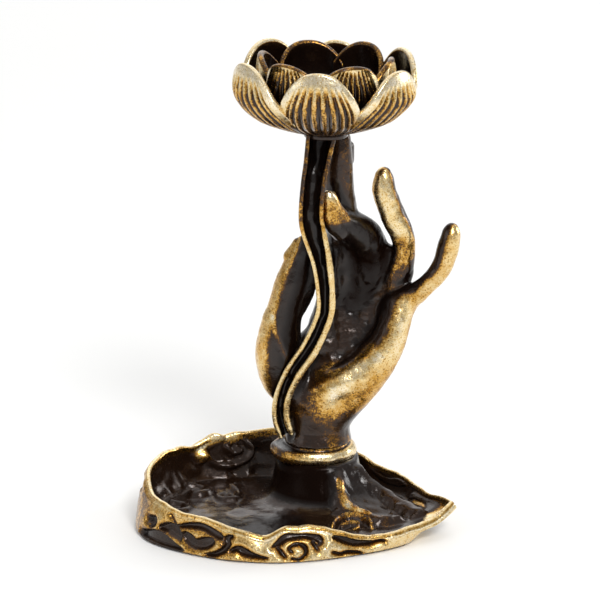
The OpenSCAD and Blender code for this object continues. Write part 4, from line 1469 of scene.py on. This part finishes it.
    @staticmethod
    def ring_tree() -> bpy.types.NodeTree:
        """Build the tree that sets copies of a petal on the places of the ring, each turned and sized.

        Returns:
            The tree.
        """
        tree, given = new_tree("petal ring", {"Petal": "Object", "Floor": "Object", "Brass": "Material"})
        petal, floor = (put(tree, "GeometryNodeObjectInfo", {"Object": given[name]}).outputs["Geometry"]
                        for name in ("Petal", "Floor"))
        points = put(tree, "GeometryNodeMeshToPoints", {"Mesh": given["Geometry"]})
        turn, wide, tall = (put(tree, "GeometryNodeInputNamedAttribute", {"Name": name}, data_type="FLOAT")
                            .outputs["Attribute"] for name in ("turn", "wide", "tall"))
        angle = put(tree, "ShaderNodeCombineXYZ", {"Z": turn})
        round_axis = put(tree, "FunctionNodeEulerToRotation", {0: angle.outputs[0]})
        size = put(tree, "ShaderNodeCombineXYZ", {"X": wide, "Y": 1.0, "Z": tall})
        copies = put(tree, "GeometryNodeInstanceOnPoints",
                     {"Points": points.outputs[0], "Instance": petal, "Rotation": round_axis.outputs[0],
                      "Scale": size.outputs[0]})
        both = put(tree, "GeometryNodeJoinGeometry", {0: copies.outputs[0]})
        tree.links.new(floor, both.inputs[0])
        end_tree(tree, both.outputs[0], given["Brass"])
        return tree

    def dress(self, finishes: Finishes) -> None:
        """Put the ring into the scene."""
        settle(self.build(finishes), Body.LOTUS, Slot.ANTIQUE, finishes.antique, self.node)


@dataclass
class Lotus:
    """Lift-off lotus cup: two rings of petals."""

    rings: list[PetalRing] = field(default_factory=lambda: [
        PetalRing(
            "outer_petals_cast", "outer_petals",
            form=((0, 0.3), (0.05, 0.46), (0.115, 0.61), (0.19, 0.745), (0.3, 0.86), (0.42, 0.945), (0.56, 1),
                  (0.72, 1), (1, 0.955)),
            floor=((4.0, 1.0), (4.75, 1.0), (4.75, 0.0), (5.6, 0.0), (8.6, 1.2), (10.2, 2.2), (4.0, 2.2)),
            turns=(-5.0, 53.0, 116.0, 172.0, 222.0, 298.0), sizes=(1.0, 0.98, 1.04, 0.98, 1.02, 0.96),
            valley=4.6, low=2.2, ribs=4.0, keen=1.15, outside=0.53, edge=0.8, tip=0.31, ground=0.13),
        PetalRing(
            "inner_petals_cast", "inner_petals",
            form=((0.145, 0.36), (0.27, 0.57), (0.45, 0.7), (0.65, 0.755), (1.03, 0.715)),
            floor=((4.0, 2.2), (6.6, 2.2), (9.0, 3.2), (8.6, 3.6), (4.0, 3.6)),
            turns=(-38.0, 24.0, 82.0, 140.0, 196.0, 264.0), sizes=(0.97, 1.0, 1.0, 1.04, 1.0, 0.97),
            valley=11.4, low=3.6, ribs=4.0, keen=3.5, outside=0.42, edge=0.34, tip=0.34, ground=-0.04,
            ribbed=(0.86, 1.0))])

    def dress(self, finishes: Finishes) -> None:
        """Put both rings into the scene."""
        for ring in self.rings:
            ring.dress(finishes)


@dataclass
class Fittings:
    """Turned pieces that keep their CAD shape: seat, nipple, screw, washer and dowel."""

    brass: tuple[str, ...] = ("cone_seat", "smoke_nipple")
    plated: tuple[str, ...] = ("wrist_screw", "wrist_washer", "wrist_dowel")

    def dress(self, finishes: Finishes) -> None:
        """Give each fitting its material.

        Args:
            finishes: Materials of the burner.
        """
        for names, material in ((self.brass, finishes.rubbed), (self.plated, finishes.steel)):
            for name in names:
                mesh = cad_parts[name].data
                mesh.materials.clear()
                mesh.materials.append(material)
                LOG.info("%s: CAD shape, %s", name, material.name)


@dataclass(frozen=True)
class Lamp:
    """Square soft lamp: where it hangs and how long its side is in metres, and its watts."""

    name: str
    place: Place
    size: float
    watts: float


@dataclass
class Studio:
    """Pale floor, soft lamps and the camera."""

    # Camera: millimetres and degrees
    target: Place = (0.6, 2.6, 47.5)
    pitch: float = 15.5
    away: float = 540.0
    focal: float = 159.3
    sensor: float = 36.0
    lamps: tuple[Lamp, ...] = (
        Lamp("key", (0.3, -0.75, 0.75), 0.3, 5.6), Lamp("fill", (-0.8, -0.5, 0.4), 0.5, 0.8),
        Lamp("back", (0.0, 1.4, 0.5), 1.2, 2.8), Lamp("side", (0.95, 0.45, 0.3), 0.35, 2.8),
        Lamp("top", (0.0, 1.3, 2.4), 4.5, 41.5))
    # Floor: half its side and how far it lies under the foot, in metres
    floor_half: float = 4.0
    floor_drop: float = 0.0001
    floor_tone: str = "#fdfdfc"
    floor_roughness: float = 0.9
    world_tone: str = "#ffffff"
    world_level: float = 0.45

    def camera(self) -> None:
        """Aim the camera as in the photograph."""
        data = bpy.data.cameras.new("camera")
        data.sensor_width = self.sensor
        data.lens = self.focal
        obj = add_object("camera", data)
        tilt = math.radians(self.pitch)
        obj.location = Vector((self.target[0], self.target[1] - self.away * math.cos(tilt),
                               self.target[2] + self.away * math.sin(tilt))) * MM
        obj.rotation_euler = (math.pi / 2 - tilt, 0, 0)
        bpy.context.scene.camera = obj

    def hang(self, lamp: Lamp) -> None:
        """Hang a lamp that looks at the object.

        Args:
            lamp: The lamp.
        """
        data = bpy.data.lights.new(lamp.name, "AREA")
        data.size = lamp.size
        data.energy = lamp.watts
        obj = add_object(lamp.name, data)
        obj.location = lamp.place
        aim = Vector(self.target) * MM - Vector(lamp.place)
        obj.rotation_euler = aim.to_track_quat("-Z", "Y").to_euler()

    def floor(self) -> None:
        """Lay a wide pale floor."""
        half = self.floor_half
        mesh = bpy.data.meshes.new("floor")
        corners = [(-half, -half, 0), (half, -half, 0), (half, half, 0), (-half, half, 0)]
        mesh.from_pydata(corners, [], [(0, 1, 2, 3)])
        obj = add_object("floor", mesh)
        obj.location.z = -self.floor_drop
        material, _, shader = new_material("floor")
        shader.inputs["Base Color"].default_value = linear(self.floor_tone)
        shader.inputs["Roughness"].default_value = self.floor_roughness
        mesh.materials.append(material)

    def build(self) -> None:
        """Set up camera, lamps, floor and world."""
        self.camera()
        for lamp in self.lamps:
            self.hang(lamp)
        self.floor()
        world = bpy.data.worlds.new("studio")
        world.use_nodes = True
        back = world.node_tree.nodes["Background"]
        back.inputs["Color"].default_value = linear(self.world_tone)
        back.inputs["Strength"].default_value = self.world_level
        bpy.context.scene.world = world
        bpy.context.scene.view_settings.view_transform = "Standard"


def main() -> None:
    """Build the burner piece by piece."""
    logging.basicConfig(level=logging.INFO, format="%(name)s %(message)s")
    Studio().build()
    finishes = Finishes(AntiqueBrass("cast brass, antiqued and rubbed").make(),
                        AntiqueBrass("turned brass, antiqued", even_rub=0.3).make(),
                        PlatedSteel("zinc-plated steel, turned").make())
    for part in (LeafDish(), WristCollar(), Hand(), StemChannel(), Lotus(), Fittings()):
        part.dress(finishes)
        LOG.info("%s done", type(part).__name__)


if __name__ == "__main__":
    main()
